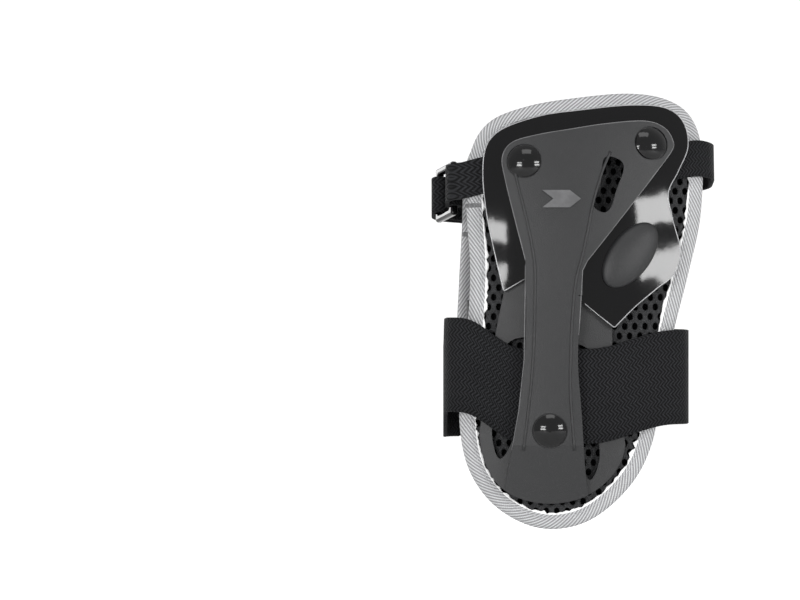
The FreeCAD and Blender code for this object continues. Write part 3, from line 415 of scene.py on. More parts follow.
def ribbon(name, stations, width, thick, material, body, nodes=(), crown=0.12,
           round_ends=False):
    """Webbing along stations of (middle point, outward normal, width direction)."""
    half, deep = width / 2, thick / 2
    shape = [(-half, -deep * 0.35), (-half + 0.25, -deep), (-half * 0.55, -deep), (0, -deep),
             (half * 0.55, -deep), (half - 0.25, -deep), (half, -deep * 0.35),
             (half, deep * 0.35), (half - 0.3, deep), (half * 0.85, deep * (1 + crown)),
             (half * 0.45, deep * (1 - crown * 0.5)), (0, deep),
             (-half * 0.45, deep * (1 - crown * 0.5)), (-half * 0.85, deep * (1 + crown)),
             (-half + 0.3, deep), (-half, deep * 0.35)]
    sections, uvs, run = [], [], 0.0
    total = sum((b[0] - a[0]).length for a, b in zip(stations, stations[1:]))
    for n, (middle, normal, across) in enumerate(stations):
        if n:
            run += (middle - stations[n - 1][0]).length
        near = min(run, total - run) if round_ends else 1e9
        pinch = 1 - 0.35 * max(0, 1 - near / 0.8) ** 2
        sections.append([middle + across * (u * (1 if near > 1 else 0.985)) + normal * (v * pinch)
                         for u, v in shape])
        uvs += [(run * MM, (u + v) * MM) for u, v in shape]
    verts, faces = loft(sections)
    made = piece(name, verts, faces, material, body, nodes, uvs)
    return outward(made)


def resampled(points, step):
    """Points along a polyline at even steps."""
    out, rest = [points[0]], 0.0
    for a, b in zip(points, points[1:]):
        long = (b - a).length
        at = step - rest
        while at < long:
            out.append(a.lerp(b, at / long))
            at += step
        rest = long - (at - step)
    out.append(points[-1])
    return out


def flat_stations(line, heights):
    """Stations for webbing that stands on edge: line in (x, y), the middle's height by station."""
    stations = []
    for n, point in enumerate(line):
        a, b = line[max(0, n - 1)], line[min(len(line) - 1, n + 1)]
        along = (b - a).normalized()
        normal = Vector((along.y, -along.x, 0))
        stations.append((Vector((point.x, point.y, heights[n])), normal, Vector((0, 0, 1))))
    return stations


def blended(keys, value):
    """A value read between (position, value) keys."""
    for (a, u), (b, v) in zip(keys, keys[1:]):
        if value <= b:
            t = max(0, min(1, (value - a) / (b - a)))
            return u + (v - u) * t * t * (3 - 2 * t)
    return keys[-1][1]


# --- padded mesh panels with real holes ----------------------------------------------------------

HOLE_X, HOLE_Z, PITCH_X, PITCH_Z = 1.2, 1.55, 4.2, 3.9
BINDING_WIDTH = 6.5


def mesh_panel(side, node):
    """Spacer mesh with staggered oval holes, wrapped over its side."""
    limit = drawn_in(EDGES[side], BINDING_WIDTH - 2.2)
    verts, faces, uvs, found = [], [], [], {}

    def vertex(x, z, depth):
        key = (round(x * 50), round(z * 50), round(depth * 50))
        if key not in found:
            found[key] = len(verts)
            verts.append(surface(side, x, z, depth)[0])
            uvs.append((x * MM, z * MM))
        return found[key]

    top, lip, floor = 7.0, 6.75, 4.9
    for row in range(-16, 32):
        for column in range(-11, 17):
            x = (column + (0.5 if row % 2 else 0)) * PITCH_X
            z = row * PITCH_Z
            if not inside(limit, x, z):
                continue
            frame_points = [(k / 4 - 0.5, 0.5) for k in range(5)]
            frame_points += [(0.5, 0.0)]
            frame_points += [(0.5 - k / 4, -0.5) for k in range(5)]
            frame_points += [(-0.5, 0.0)]
            rings = [[(x + u * PITCH_X, z + w * PITCH_Z, top - 0.25 * (abs(w) > 0.4))
                      for u, w in frame_points]]
            for scale, depth in ((1.28, top), (1.0, lip), (0.88, floor)):
                ring = []
                for u, w in frame_points:
                    angle = math.atan2(w * PITCH_Z / HOLE_Z, u * PITCH_X / HOLE_X)
                    ring.append((x + HOLE_X * scale * math.cos(angle),
                                 z + HOLE_Z * scale * math.sin(angle), depth))
                rings.append(ring)
            indexed = [[vertex(*p) for p in ring] for ring in rings]
            for outer, inner in zip(indexed, indexed[1:]):
                for k in range(12):
                    quad = (outer[k], outer[(k + 1) % 12], inner[(k + 1) % 12], inner[k])
                    if len(set(quad)) == 4:
                        faces.append(quad)
    made = piece(node + "_knit", verts, faces, SPACER, None, [node], uvs)
    outer_normal = Vector((0, -1 if side == "palm" else 1, 0))
    if sum(p.normal.dot(outer_normal) for p in made.data.polygons[:24]) < 0:
        made.data.flip_normals()
    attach(made, "guard")
    return made


def pad_layer(side, nodes, name, material, low, high, inset):
    """A foam or lining pad: a closed, softly crowned sheet over one side."""
    loop = drawn_in(EDGES[side], inset)
    middle = (sum(p[0] for p in loop) / len(loop), sum(p[1] for p in loop) / len(loop))
    rings = 22
    verts, uvs, faces = [], [], []
    count = len(loop[::2])
    for face_depth, bulge in ((high, 0.0), (low, 0.5)):
        for ring in range(rings + 1):
            share = 1 - ring / rings * 0.985
            for x, z in loop[::2]:
                px, pz = middle[0] + (x - middle[0]) * share, middle[1] + (z - middle[1]) * share
                puff = bulge * (0.25 * math.sin(px * 0.55) * math.sin(pz * 0.4))
                depth = face_depth + puff if ring else (low + high) / 2
                verts.append(surface(side, px, pz, depth)[0])
                uvs.append((px * MM, pz * MM))
    block = count * (rings + 1)
    for half in (0, 1):
        for ring in range(rings):
            a, b = half * block + ring * count, half * block + (ring + 1) * count
            faces += [(a + k, a + (k + 1) % count, b + (k + 1) % count, b + k)
                      for k in range(count)]
        a = half * block + rings * count
        faces.append(tuple(range(a, a + count)))
    made = piece(name, verts, faces, material, None, nodes, uvs)
    build = bmesh.new()
    build.from_mesh(made.data)
    bmesh.ops.remove_doubles(build, verts=build.verts, dist=0.00001)
    bmesh.ops.recalc_face_normals(build, faces=build.faces)
    build.to_mesh(made.data)
    build.free()
    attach(made, "guard")
    return made


for side in ("palm", "back"):
    mesh_panel(side, side + "_mesh_panel")
    pad_layer(side, [side + "_foam"], side + "_foam_pad", FOAM, 1.0, 4.0, BINDING_WIDTH - 1.2)
    pad_layer(side, [side + "_lining"], side + "_lining_fabric", KNIT, 0.0, 0.8,
              BINDING_WIDTH - 1.2)

# --- folded binding tape -------------------------------------------------------------------------

# The tape's section as (inset, depth): outer face, fold, inner face, then back inside. The
# numbered points at its two raw edges are frayed.
FRAYED = (0, 1, 15, 16)
TAPE_SHAPE = [(6.9, 7.05), (6.75, 7.55), (6.1, 7.85), (4.6, 7.8), (3.0, 7.75), (1.6, 7.45),
              (0.7, 6.7), (0.15, 5.4), (0.0, 3.5), (0.15, 1.6), (0.7, 0.3), (1.6, -0.4),
              (3.0, -0.75), (4.6, -0.8), (6.1, -0.8), (6.7, -0.6), (6.85, -0.1), (6.2, 0.0),
              (4.0, 0.05), (2.2, 1.2), (1.7, 3.5), (2.2, 5.8), (4.0, 6.95), (6.2, 7.0)]


def binding(side):
    loop = EDGES[side]
    runs, total = [0.0], 0.0
    for a, b in zip(loop, loop[1:] + loop[:1]):
        total += math.hypot(b[0] - a[0], b[1] - a[1])
        runs.append(total)
    insets = [drawn_in(loop, t) for t, _ in TAPE_SHAPE]
    sections, uvs = [], []
    for n in range(len(loop)):
        wobble = 0.16 * noise.noise(Vector((loop[n][0] * 0.11, loop[n][1] * 0.11, 3)))
        fray = 0.36 * noise.noise(Vector((loop[n][0] * 0.9, loop[n][1] * 0.9, 7)))
        ring = []
        for k, (t, depth) in enumerate(TAPE_SHAPE):
            x, z = insets[k][n]
            if k in FRAYED:
                cx, cz = insets[4][n]
                x, z = x + (x - cx) * fray, z + (z - cz) * fray
            lift = wobble if 1 <= k <= 6 or 10 <= k <= 15 else 0
            if k == 3:
                lift -= 0.18
            ring.append(surface(side, x, z, depth + (lift if k < 9 else -lift))[0])
            uvs.append((runs[n] * MM, (t if k < 9 else 14 - t) * MM))
        sections.append(ring)
    verts, faces = loft(sections, True)
    made = piece(side + "_binding_tape", verts, faces, BINDING, "guard",
                 [side + "_edge_binding"], uvs, extra=[BINDING_RAW])
    around = len(TAPE_SHAPE)
    for polygon in made.data.polygons:
        ks = sorted(v % around for v in polygon.vertices)
        if ks[-1] <= 2 or (ks[0] == 0 and ks[-1] == around - 1):
            polygon.material_index = 1
    outward(made)
    return made


for side in ("palm", "back"):
    binding(side)


def stitch_line(name, points, long, gap, material, body, radius=0.2):
    """A row of stitches: short threads that dip at both ends, along (point, normal) places."""
    verts, faces = [], []
    lengths = [0.0]
    for (a, _), (b, _) in zip(points, points[1:]):
        lengths.append(lengths[-1] + (b - a).length)

    def at(distance):
        for n in range(len(points) - 1):
            if distance <= lengths[n + 1]:
                t = (distance - lengths[n]) / max(1e-9, lengths[n + 1] - lengths[n])
                here, ahead = points[n], points[n + 1]
                return here[0].lerp(ahead[0], t), here[1].lerp(ahead[1], t)
        return points[-1]

    start = gap / 2
    while start + long < lengths[-1]:
        base = len(verts)
        for k in range(5):
            middle, normal = at(start + long * k / 4)
            ahead, _ = at(start + long * k / 4 + 0.05)
            along = ahead - middle
            along = along.normalized() if along.length > 1e-6 else Vector((1, 0, 0))
            across = along.cross(normal).normalized()
            lift = -0.28 if k in (0, 4) else 0.1
            for j in range(6):
                angle = math.pi * j / 3
                verts.append(middle + normal * (lift + radius * 0.8 * math.sin(angle))
                             + across * radius * math.cos(angle))
        for k in range(4):
            a, b = base + k * 6, base + k * 6 + 6
            faces += [(a + j, a + (j + 1) % 6, b + (j + 1) % 6, b + j) for j in range(6)]
        start += long + gap
    made = piece(name, verts, faces, material, body, ())
    return outward(made)


for side in ("palm", "back"):
    seam = drawn_in(EDGES[side], 4.7)
    places = [surface(side, x, z, 7.75) for x, z in seam[::2] + seam[:1]]
    stitch_line(side + "_binding_stitches", places, 1.9, 0.9, GREY_THREAD, "guard", 0.17)
    places = [surface(side, x, z, -0.85) for x, z in seam[::2] + seam[:1]]
    places = [(point, -normal) for point, normal in places]
    stitch_line(side + "_binding_inner_stitches", places, 1.9, 0.9, GREY_THREAD, "guard", 0.17)

# --- webbing -------------------------------------------------------------------------------------


def arc_y(side, x, radius, centre):
    inner = math.sqrt(radius * radius - (x - MIDDLE) ** 2)
    return centre - inner if side == "palm" else -centre + inner


def corner(a, control, b, steps=12):
    return [a * (1 - t) ** 2 + control * 2 * t * (1 - t) + b * t * t
            for t in (k / steps for k in range(1, steps))]


# Wrist strap, in plan: round the back, the thumb side, the palm and the little finger side.
CENTRE = WRAP - HALF_GAP
PALM_R, UNDER_R, FLAP_R = WRAP + 10.65, WRAP + 12.05, WRAP + 16.15
LOW_X, HIGH_X, CORNER = -42.25, 55.25, 6.5
FLAP_HEIGHT = -3.5


def along_arc(side, radius, centre, start, end, steps):
    return [Vector((x, arc_y(side, x, radius, centre), 0)) for x in
            (start + (end - start) * k / steps for k in range(steps + 1))]


line = along_arc("back", UNDER_R, CENTRE, -34, HIGH_X - CORNER, 40)
thumb_back = Vector((HIGH_X, arc_y("back", HIGH_X, UNDER_R, CENTRE), 0))
thumb_palm = Vector((HIGH_X, arc_y("palm", HIGH_X, PALM_R, CENTRE), 0))
line += corner(line[-1], thumb_back, thumb_back - Vector((0, CORNER, 0)))
line += [thumb_back - Vector((0, CORNER, 0)), thumb_palm + Vector((0, CORNER, 0))]
palm_line = along_arc("palm", PALM_R, CENTRE, HIGH_X - CORNER, LOW_X + CORNER, 50)
line += corner(line[-1], thumb_palm, palm_line[0]) + palm_line
pinky_palm = Vector((LOW_X, arc_y("palm", LOW_X, PALM_R, CENTRE), 0))
pinky_back = Vector((LOW_X, arc_y("back", LOW_X, FLAP_R, CENTRE), 0))
line += corner(line[-1], pinky_palm, pinky_palm + Vector((0, CORNER, 0)))
line += [pinky_palm + Vector((0, CORNER, 0)), pinky_back - Vector((0, CORNER, 0))]
flap_start = Vector((-36.3, arc_y("back", -36.3, FLAP_R, CENTRE), 0))
line += corner(line[-1], pinky_back, flap_start) + [flap_start]
line = resampled(line, 1.6)


def wrist_height(point):
    if point.x > 50:
        return 3.0
    if point.x < -36.4:
        return blended([(-16, 8), (17, -3.5)], point.y)
    if point.y > 0:
        return 3.5
    return blended([(-36.5, 8), (-12, -4.5), (15, -4.5), (49.5, 3)], point.x)


heights = [wrist_height(p) for p in line]
heights[-1] = heights[-2] = FLAP_HEIGHT
for _ in range(3):
    heights = [heights[0]] + [(a + 2 * b + c) / 4 for a, b, c in
                              zip(heights, heights[1:], heights[2:])] + [heights[-1]]
ribbon("wrist_strap_webbing", flat_stations(line, heights), WIDE, THICK, WEBBING, "guard",
       ["wrist_strap"])

flap_line = along_arc("back", FLAP_R, CENTRE, -36.2, 43.6, 50)
ribbon("wrist_flap_webbing", flat_stations(flap_line, [FLAP_HEIGHT] * len(flap_line)), WIDE, THICK,
       WEBBING, "wrist_flap", ["wrist_strap_flap"], round_ends=True)


def patch(name, node, left, right, middle, width, low, high, material, body, fuzz=0.0):
    """A flat patch wrapped on the back, its face roughened where it is pile."""
    columns, rows = max(8, int((right - left) / 1.3)), max(6, int(width / 1.3))
    verts, uvs, faces = [], [], []
    for layer_number, depth in enumerate((low, high)):
        for i in range(columns + 1):
            for j in range(rows + 1):
                x = left + (right - left) * i / columns
                z = middle - width / 2 + width * j / rows
                rim = min(i, columns - i, j, rows - j)
                sink = 0.22 * (high - low) if rim == 0 else 0
                rough = fuzz * noise.noise(Vector((x * 1.7, z * 1.7, 5))) if rim else 0
                place = depth - sink + rough if layer_number else depth
                verts.append(surface("back", x, z, place)[0])
                uvs.append((x * MM, z * MM))
    block = (columns + 1) * (rows + 1)

    def index(layer_number, i, j):
        return layer_number * block + i * (rows + 1) + j

    for i in range(columns):
        for j in range(rows):
            for layer_number in (0, 1):
                faces.append(tuple(index(layer_number, i + a, j + b)
                                   for a, b in ((0, 0), (1, 0), (1, 1), (0, 1))))
    for i in range(columns):
        for j in (0, rows):
            faces.append((index(0, i, j), index(0, i + 1, j), index(1, i + 1, j), index(1, i, j)))
    for j in range(rows):
        for i in (0, columns):
            faces.append((index(0, i, j), index(0, i, j + 1), index(1, i, j + 1), index(1, i, j)))
    made = piece(name, verts, faces, material, body, [node], uvs)
    return bevel(outward(made), 0.2, 2, 60)


patch("wrist_loop_pile", "wrist_loop_patch", -30, 46, 2.5, 33, 13.0, 13.9, LOOP, "guard",
      fuzz=0.08)
patch("wrist_hook_pile", "wrist_hook_patch", -12, 42, -3.5, 33, 14.45, 15.2, HOOK, "wrist_flap",
      fuzz=0.06)
patch("label_rubber", "label_patch", -23.6, 39.2, -4.5, 29, 17.1, 18.4, LABEL, "wrist_flap")


def frame_band(left, right, low, high, depth, step=1.2):
    """(point, normal) places round a rectangle on the back."""
    corners = [(left, low), (left, high), (right, high), (right, low), (left, low)]
    places = []
    for (ax, az), (bx, bz) in zip(corners, corners[1:]):
        long = math.hypot(bx - ax, bz - az)
        count = int(long / step)
        places += [surface("back", ax + (bx - ax) * k / count, az + (bz - az) * k / count, depth)
                   for k in range(count)]
    return places + [surface("back", left, low, depth)]


made = stitch_line("label_stitches", frame_band(-21.0, 36.6, -16.4, 7.4, 18.5), 2.1, 0.8,
                   WHITE_THREAD, "wrist_flap", 0.2)
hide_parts("label_stitching")


def tube(name, places, radius, material, body, nodes=(), squashed=1.0):
    sections = []
    for n, (middle, normal) in enumerate(places):
        a, b = places[max(0, n - 1)][0], places[min(len(places) - 1, n + 1)][0]
        across = (b - a).normalized().cross(normal).normalized()
        sections.append([middle + normal * radius * squashed * math.sin(math.pi * j / 4)
                         + across * radius * math.cos(math.pi * j / 4) for j in range(8)])
    verts, faces = loft(sections)
    return outward(piece(name, verts, faces, material, body, nodes))


tube("label_white_edge", frame_band(-23.4, 39.0, -18.8, 9.8, 18.1), 0.55, LABEL_EDGE,
     "wrist_flap")


# Hand strap: drawn level, then leaned back with the hand.
RISE = HAND_HEIGHT - BEND_START
LEAN = math.asin(RISE / BEND)
SHIFT = BEND - math.sqrt(BEND ** 2 - RISE ** 2)
HAND = Matrix.Translation((0, SHIFT, HAND_HEIGHT)) @ Matrix.Rotation(-LEAN, 4, "X")
palm_bend, back_bend = BEND + HALF_GAP, BEND - HALF_GAP
HAND_PALM = (WRAP - palm_bend + math.sqrt(palm_bend ** 2 - RISE ** 2)) / math.cos(LEAN)
HAND_BACK = (WRAP + back_bend - math.sqrt(back_bend ** 2 - RISE ** 2)) / math.cos(LEAN)
BAR = Vector((-44.5, 9, 0))
TURN_R = THICK + 0.3 + 0.75
# How far the webbing on the back lies below the hand strap's height.
DROP = 1.5


def leaned(stations):
    turn = HAND.to_3x3()
    return [(HAND @ m, (turn @ n).normalized(), (turn @ w).normalized()) for m, n, w in stations]


UNDER_HAND, FLAP_HAND, ANCHOR_HAND = HAND_BACK + 12.05, HAND_BACK + 16.15, HAND_PALM + 8.85
BACK_C, PALM_C = HAND_BACK - HALF_GAP, HAND_PALM - HALF_GAP
start_x, end_x = BAR.x + TURN_R, 66.75
top = Vector((start_x, arc_y("back", start_x, UNDER_HAND, BACK_C), 0))
first = Vector((start_x + 6, arc_y("back", start_x + 6, UNDER_HAND, BACK_C), 0))
line = [Vector((start_x, 9, 0)), top - Vector((0, 6, 0))]
line += corner(line[-1], top, first)
line += along_arc("back", UNDER_HAND, BACK_C, start_x + 6, end_x - 6, 50)
thumb_top = Vector((end_x, arc_y("back", end_x, UNDER_HAND, BACK_C), 0))
thumb_foot = Vector((end_x, arc_y("palm", end_x, ANCHOR_HAND, PALM_C), 0))
line += corner(line[-1], thumb_top, thumb_top - Vector((0, 6, 0)))
line += [thumb_top - Vector((0, 6, 0)), thumb_foot + Vector((0, 6, 0))]
anchor = along_arc("palm", ANCHOR_HAND, PALM_C, end_x - 6, 43.6, 16)
line += corner(line[-1], thumb_foot, anchor[0]) + anchor
line = resampled(line, 1.4)


def hand_height(point):
    if point.y < 0 and point.x < 62:
        return blended([(43.6, 5.5), (62, 9.5)], point.x)
    return blended([(38, -1.5), (62, 9.5)], point.x)


heights = [hand_height(p) for p in line]
ribbon("hand_strap_webbing", leaned(flat_stations(line, heights)), NARROW, THICK, WEBBING, "guard",
       ["hand_strap"])

turn_line = [Vector((BAR.x - TURN_R * math.cos(a), 9 - 0.3 - TURN_R * math.sin(a), 0))
             for a in (math.pi * k / 16 for k in range(17))]
turn_stations = [(m, (m - Vector((BAR.x, 8.7, 0))).normalized(), Vector((0, 0, 1)))
                 for m in turn_line]
turn_stations = [(m + Vector((0, 0, -DROP)), n, w) for m, n, w in turn_stations]
ribbon("hand_turn_webbing", leaned(turn_stations), NARROW, THICK, WEBBING, "ring",
       ["hand_strap_turn"])

flap_x = BAR.x - TURN_R
flap_top = Vector((flap_x, arc_y("back", flap_x, FLAP_HAND, BACK_C), 0))
flap_first = Vector((flap_x + 6, arc_y("back", flap_x + 6, FLAP_HAND, BACK_C), 0))
line = [Vector((flap_x, 9.3, 0)), flap_top - Vector((0, 6, 0))]
line += corner(line[-1], flap_top, flap_first)
line += along_arc("back", FLAP_HAND, BACK_C, flap_x + 6, 15.6, 40)
line = resampled(line, 1.4)
ribbon("hand_flap_webbing", leaned(flat_stations(line, [-DROP] * len(line))), NARROW, THICK,
       WEBBING, "hand_flap", ["hand_strap_flap"])

flat_z = HAND_HEIGHT - DROP * math.cos(LEAN)
patch("hand_loop_pile", "hand_loop_patch", 0, 28.6, flat_z, 13, 13.0, 13.9, LOOP, "guard",
      fuzz=0.06)
patch("hand_hook_pile", "hand_hook_patch", 4, 28.6, flat_z, 13, 14.45, 15.1, HOOK, "hand_flap",
      fuzz=0.06)


def soft_block(name, nodes, side, outline, low, high, material, body, rim=1.2, fuzz=0.05,
               crown=0.0, step=1.1, falls_from=None, fall=0.0):
    """A soft flat piece over an outline: rounded rims and a slightly uneven face."""
    xs, zs = [p[0] for p in outline], [p[1] for p in outline]
    columns, rows = int((max(xs) - min(xs)) / step) + 1, int((max(zs) - min(zs)) / step) + 1
    build = bmesh.new()
    grid = {}
    for i in range(columns + 1):
        for j in range(rows + 1):
            x = min(xs) + (max(xs) - min(xs)) * i / columns
            z = min(zs) + (max(zs) - min(zs)) * j / rows
            if inside(outline, x, z) or gap_to(outline, x, z) < 0.05 * step:
                grid[i, j] = (x, z)
    middle, half = (low + high) / 2, (high - low) / 2
    cells = {}
    for (i, j), (x, z) in grid.items():
        near = gap_to(outline, x, z)
        share = math.sqrt(max(0.0, 1 - (1 - min(1, near / rim)) ** 2))
        rough = fuzz * noise.noise(Vector((x * 1.9, z * 1.9, 11))) * share
        for way in (1, -1):
            depth = middle + way * (half * share + (crown + rough if way > 0 else 0) * share)
            if falls_from is not None:
                depth -= fall * max(0.0, z - falls_from)
            point = surface(side, x, z, depth)[0] * MM
            cells[i, j, way] = build.verts.new(point)
    for (i, j) in grid:
        if all((i + a, j + b) in grid for a, b in ((1, 0), (1, 1), (0, 1))):
            for way in (1, -1):
                build.faces.new([cells[i + a, j + b, way]
                                 for a, b in ((0, 0), (1, 0), (1, 1), (0, 1))])
    mesh = bpy.data.meshes.new(name)
    for vertex in [v for v in build.verts if not v.link_faces]:
        build.verts.remove(vertex)
    border = [e for e in build.edges if len(e.link_faces) == 1]
    if border:
        bmesh.ops.bridge_loops(build, edges=border)
    bmesh.ops.recalc_face_normals(build, faces=build.faces)
    build.to_mesh(mesh)
    build.free()
    mesh.materials.append(material)
    layer = mesh.uv_layers.new(name="cloth")
    for loop in mesh.loops:
        co = mesh.vertices[loop.vertex_index].co
        layer.data[loop.index].uv = (co.x, co.z)
    for polygon in mesh.polygons:
        polygon.use_smooth = True
    made = bpy.data.objects.new(name, mesh)
    bpy.context.scene.collection.objects.link(made)
    if nodes:
        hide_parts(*nodes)
    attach(made, body)
    return made


soft_block("pull_tab_pile", ["hand_pull_tab"], "back",
           [(15.2, 70.8), (28.6, 70.8), (29, 91.6), (31.6, 92.4), (32.4, 95), (32, 104.5),
            (29.5, 107), (18, 107.4), (15.8, 105.5), (15.2, 98)], 15.4, 17.2, HOOK, "hand_flap",
           1.0, 0.3, 0.15, 0.8, 88, 0.17)
soft_block("keeper_tape", ["strap_keeper"], "back",
           [(29.2, 61.5), (36.6, 61.5), (37.4, 91), (30, 91)], 13.0, 13.8, TAPE, "guard",
           0.5, 0.02, 0.1, 0.7)

# --- padded cover on the back --------------------------------------------------------------------


def clipped(loop, low, high):
    """A loop cut off at two places across the hand."""
    for sign, limit in ((1, low), (-1, -high)):
        kept = []
        for n, (bx, bz) in enumerate(loop):
            ax, az = loop[n - 1]
            a, b = sign * ax - limit, sign * bx - limit
            if (a < 0) != (b < 0):
                t = a / (a - b)
                kept.append((ax + (bx - ax) * t, az + (bz - az) * t))
            if b >= 0:
                kept.append((bx, bz))
        loop = kept
    return loop


CLOTH_FRAMES = 20


def inflated(made, voxel, pressure, cap):
    """Remeshes a soft solid, blows it up as cloth and caps each point's travel."""
    bpy.context.view_layer.objects.active = made
    remesh = made.modifiers.new("remesh", "REMESH")
    remesh.mode = "VOXEL"
    remesh.voxel_size = voxel * MM
    with bpy.context.temp_override(object=made, active_object=made):
        bpy.ops.object.modifier_apply(modifier="remesh")
    rest = [v.co.copy() for v in made.data.vertices]
    cloth = made.modifiers.new("cloth", "CLOTH")
    cloth.settings.use_pressure = True
    cloth.settings.uniform_pressure_force = pressure
    cloth.settings.effector_weights.gravity = 0
    cloth.point_cache.frame_start, cloth.point_cache.frame_end = 1, CLOTH_FRAMES
    scene = bpy.context.scene
    for number in range(1, CLOTH_FRAMES + 1):
        scene.frame_set(number)
    shaped = made.evaluated_get(bpy.context.evaluated_depsgraph_get())
    moved = [v.co.copy() for v in shaped.data.vertices]
    made.modifiers.clear()
    scene.frame_set(1)
    for vertex, before, after in zip(made.data.vertices, rest, moved):
        travel = after - before
        vertex.co = before + travel * min(1, cap * MM / max(travel.length, 1e-9))
    settle = made.modifiers.new("settle", "SMOOTH")
    settle.factor, settle.iterations = 0.5, 3
    finer = made.modifiers.new("finer", "SUBSURF")
    finer.levels = finer.render_levels = 1
    with bpy.context.temp_override(object=made, active_object=made):
        bpy.ops.object.modifier_apply(modifier="settle")
        bpy.ops.object.modifier_apply(modifier="finer")
    for polygon in made.data.polygons:
        polygon.use_smooth = True
    return made


cover_line = clipped(drawn_in(EDGES["back"], 7.4), -18.9, 24.9)
cover = soft_block("back_padded_cover", ["back_cushion", "back_cover"], "back", cover_line, 7.3,
                   10.4, LEATHER, "guard", 4.0, 0.0, 0.2, 2.0)
# The cloth is blown up away from the body it rides, then put back on it.
cover.parent = None
inflated(cover, 2.0, 4.0, 0.9)
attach(cover, "guard")
for number, x in enumerate((-18.1, 22.6, 24.0)):
    low = min(z for px, z in cover_line if abs(px - x) < 3.5) + 1.5
    high = max(z for px, z in cover_line if abs(px - x) < 3.5) - 1.5
    count = int(high - low)
    places = [surface("back", x, low + k, 9.7 if number == 1 else 9.0) for k in range(count)]
    stitch_line(f"cover_seam_stitches_{number + 1}", places, 2.0, 0.9, BLACK_THREAD, "guard",
                0.2)

# --- carried-over CAD nodes ----------------------------------------------------------------------


def coat(node, material, width=0.0, segments=3, angle=35):
    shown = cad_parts[node]
    shown.data.materials.clear()
    shown.data.materials.append(material)
    if width:
        bevel(shown, width, segments, angle)
    return shown


RIDGES = {
    "left": [(-15.2, 88), (-13.6, 80), (-10.2, 66), (-7.4, 51), (-6.9, 40), (-7.6, 12),
             (-9.4, -8), (-11.6, -26)],
    "right": [(23.6, 93.5), (20.0, 85), (16.4, 73), (14.2, 62), (11.8, 51), (9.4, 42), (8.0, 28),
              (7.3, 12), (7.2, -4), (8.8, -26)],
}
for side, points in RIDGES.items():
    places = [surface("palm", x, z, 15.15) for x, z in spline(points, 6, False)]
    tube("splint_ridge_" + side, places, 0.55, MATTE, "guard", (), 0.7)

PLATE = spline([(-19.3, 37.4), (-22.6, 51.6), (-25.9, 67.7), (-27.5, 84), (-26, 96),
                (-19.5, 102.9), (-4, 108.2), (11.2, 110.4), (31.7, 112.6), (46.5, 111.8),
                (54, 106), (55.7, 96), (51.5, 86), (47.2, 77), (49, 66), (51.9, 54),
                (49.2, 44.4), (42.3, 38.7), (33, 31), (24.8, 22.8)], 10, False)
HEAD = spline([(-10.7, 49.8), (-14.8, 66), (-18.6, 82), (-19.8, 91.3), (-15.8, 97.2),
               (-6, 100.2), (8, 102.6), (22, 104.8), (38, 106), (46.2, 103), (49.5, 97),
               (48, 93)], 10, False)
# Thin light grey tubes along the plate's rim and the splint's edges: painted highlight lines for
# light catching these edges.
EDGE_HIGHLIGHT_LINES = {
    "plate_rim_highlight": ([(-10.9, 42.4), (-19.0, 37.7)] + PLATE[1:-1] + [(24.6, 23.2), (13, 32.5)],
                       12.05, 0.22, PLATE_HIGHLIGHT, "plate"),
    "splint_rim_highlight": (HEAD + [(40, 82.6), (30, 69.8), (20, 57.2), (13.9, 49.6), (12, 45.8),
                                (10.9, 26), (10.4, 20)], 15.05, 0.2, SPLINT_HIGHLIGHT, "splint"),
    "spine_rim_highlight": ([(-10.8, 48), (-10.9, 36), (-11.3, 10), (-13.4, -10), (-16.2, -26)], 15.05,
                       0.18, SPLINT_HIGHLIGHT, "splint"),
}
for name, (points, depth, radius, material, slot) in EDGE_HIGHLIGHT_LINES.items():
    places = [surface("palm", x, z, depth) for x, z in points]
    tube(name, places, radius, material, "guard", ())

coat("skid_plate", GLOSS, 0.5)
coat("palm_splint", MATTE, 0.4)
# The emblem takes the light grey edge colour: a painted highlight that makes the raised logo show.
coat("splint_emblem", SPLINT_HIGHLIGHT, 0.12)
coat("thenar_bump", MATTE)
coat("strap_ring", GLOSS)
coat("back_stay", MATTE)
for at in ("little_finger", "index_finger", "heel"):
    coat(at + "_rivet", RIVET)
    coat(at + "_washer", STEEL)
coat("label_mark", YELLOW, 0.08)
coat("ring_tab", SOLID_WEBBING, 0.2)
for node in ("cover_seam_strip", "cover_piping", "little_finger_gusset", "thumb_gusset"):
    coat(node, LEATHER, 0.3)
for node in ("little_finger_bar_tack", "thumb_bar_tack", "keeper_bar_tack"):
    coat(node, GREY_THREAD, 0.15)

# --- floor, light and camera ---------------------------------------------------------------------


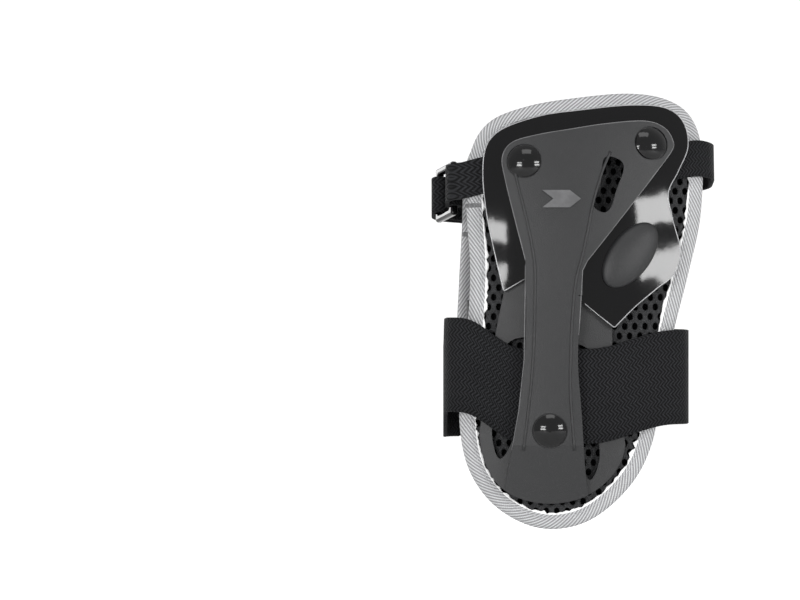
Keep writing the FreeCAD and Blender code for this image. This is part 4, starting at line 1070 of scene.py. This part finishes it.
def cyclorama():
    """A pale floor that curves up far behind the object."""
    profile = [(-3.5, 0.0), (2.0, 0.0)]
    profile += [(2.0 + 1.2 * math.sin(a), 1.2 - 1.2 * math.cos(a))
                for a in (math.pi / 2 * k / 12 for k in range(1, 13))]
    profile.append((3.2, 4.5))
    verts = [(x, y, z - 0.09) for y, z in profile for x in (-5, 5)]
    faces = [(2 * n, 2 * n + 1, 2 * n + 3, 2 * n + 2) for n in range(len(profile) - 1)]
    mesh = bpy.data.meshes.new("floor")
    mesh.from_pydata(verts, [], faces)
    pale = bpy.data.materials.new("pale_floor")
    pale.use_nodes = True
    shader = pale.node_tree.nodes["Principled BSDF"]
    shader.inputs["Base Color"].default_value = (0.9, 0.9, 0.9, 1)
    shader.inputs["Roughness"].default_value = 0.9
    shader.inputs["Emission Color"].default_value = (1, 1, 1, 1)
    shader.inputs["Emission Strength"].default_value = 0.1
    mesh.materials.append(pale)
    for polygon in mesh.polygons:
        polygon.use_smooth = True
    made = bpy.data.objects.new("floor", mesh)
    bpy.context.scene.collection.objects.link(made)


cyclorama()

world = bpy.data.worlds.new("studio")
world.use_nodes = True
world.node_tree.nodes["Background"].inputs[0].default_value = (1, 1, 1, 1)
world.node_tree.nodes["Background"].inputs[1].default_value = 0.97
bpy.context.scene.world = world
bpy.context.scene.view_settings.view_transform = "Standard"

TARGET = Vector((0.012, 0, 0.03))
for name, place, wide, high, power in (
        ("left_low_softbox", (-0.636, -1.02, 0.115), 0.42, 0.13, 5.6),
        ("left_high_softbox", (-0.636, -1.02, 0.315), 0.42, 0.10, 4.3),
        ("right_low_softbox", (0.83, -0.86, 0.17), 0.42, 0.12, 5.2),
        ("right_high_softbox", (0.83, -0.86, 0.385), 0.42, 0.11, 4.8),
        ("top_softbox", (0.0, -0.6, 1.3), 0.8, 0.5, 5.0),
        ("back_left_softbox", (0.75, 1.0, 0.35), 0.3, 0.7, 4.0),
        ("back_right_softbox", (-0.75, 0.9, 0.40), 0.3, 0.7, 4.0)):
    lamp = bpy.data.lights.new(name, "AREA")
    lamp.shape, lamp.size, lamp.size_y, lamp.energy = "RECTANGLE", wide, high, power
    made = bpy.data.objects.new(name, lamp)
    made.location = place
    made.rotation_euler = (TARGET - Vector(place)).to_track_quat("-Z", "Y").to_euler()
    bpy.context.scene.collection.objects.link(made)

camera = bpy.data.cameras.new("camera")
camera.sensor_width = 36
CAMERA_AWAY, FRAME_WIDE, FACE_Y = 1.5, 0.320, -0.028
camera.lens = 36 * (CAMERA_AWAY + FACE_Y) / FRAME_WIDE
made = bpy.data.objects.new("camera", camera)
made.location = (-0.0608, -CAMERA_AWAY, 0.034)
made.rotation_euler = (math.pi / 2, 0, 0)
bpy.context.scene.collection.objects.link(made)
bpy.context.scene.camera = made

bpy.context.view_layer.update()
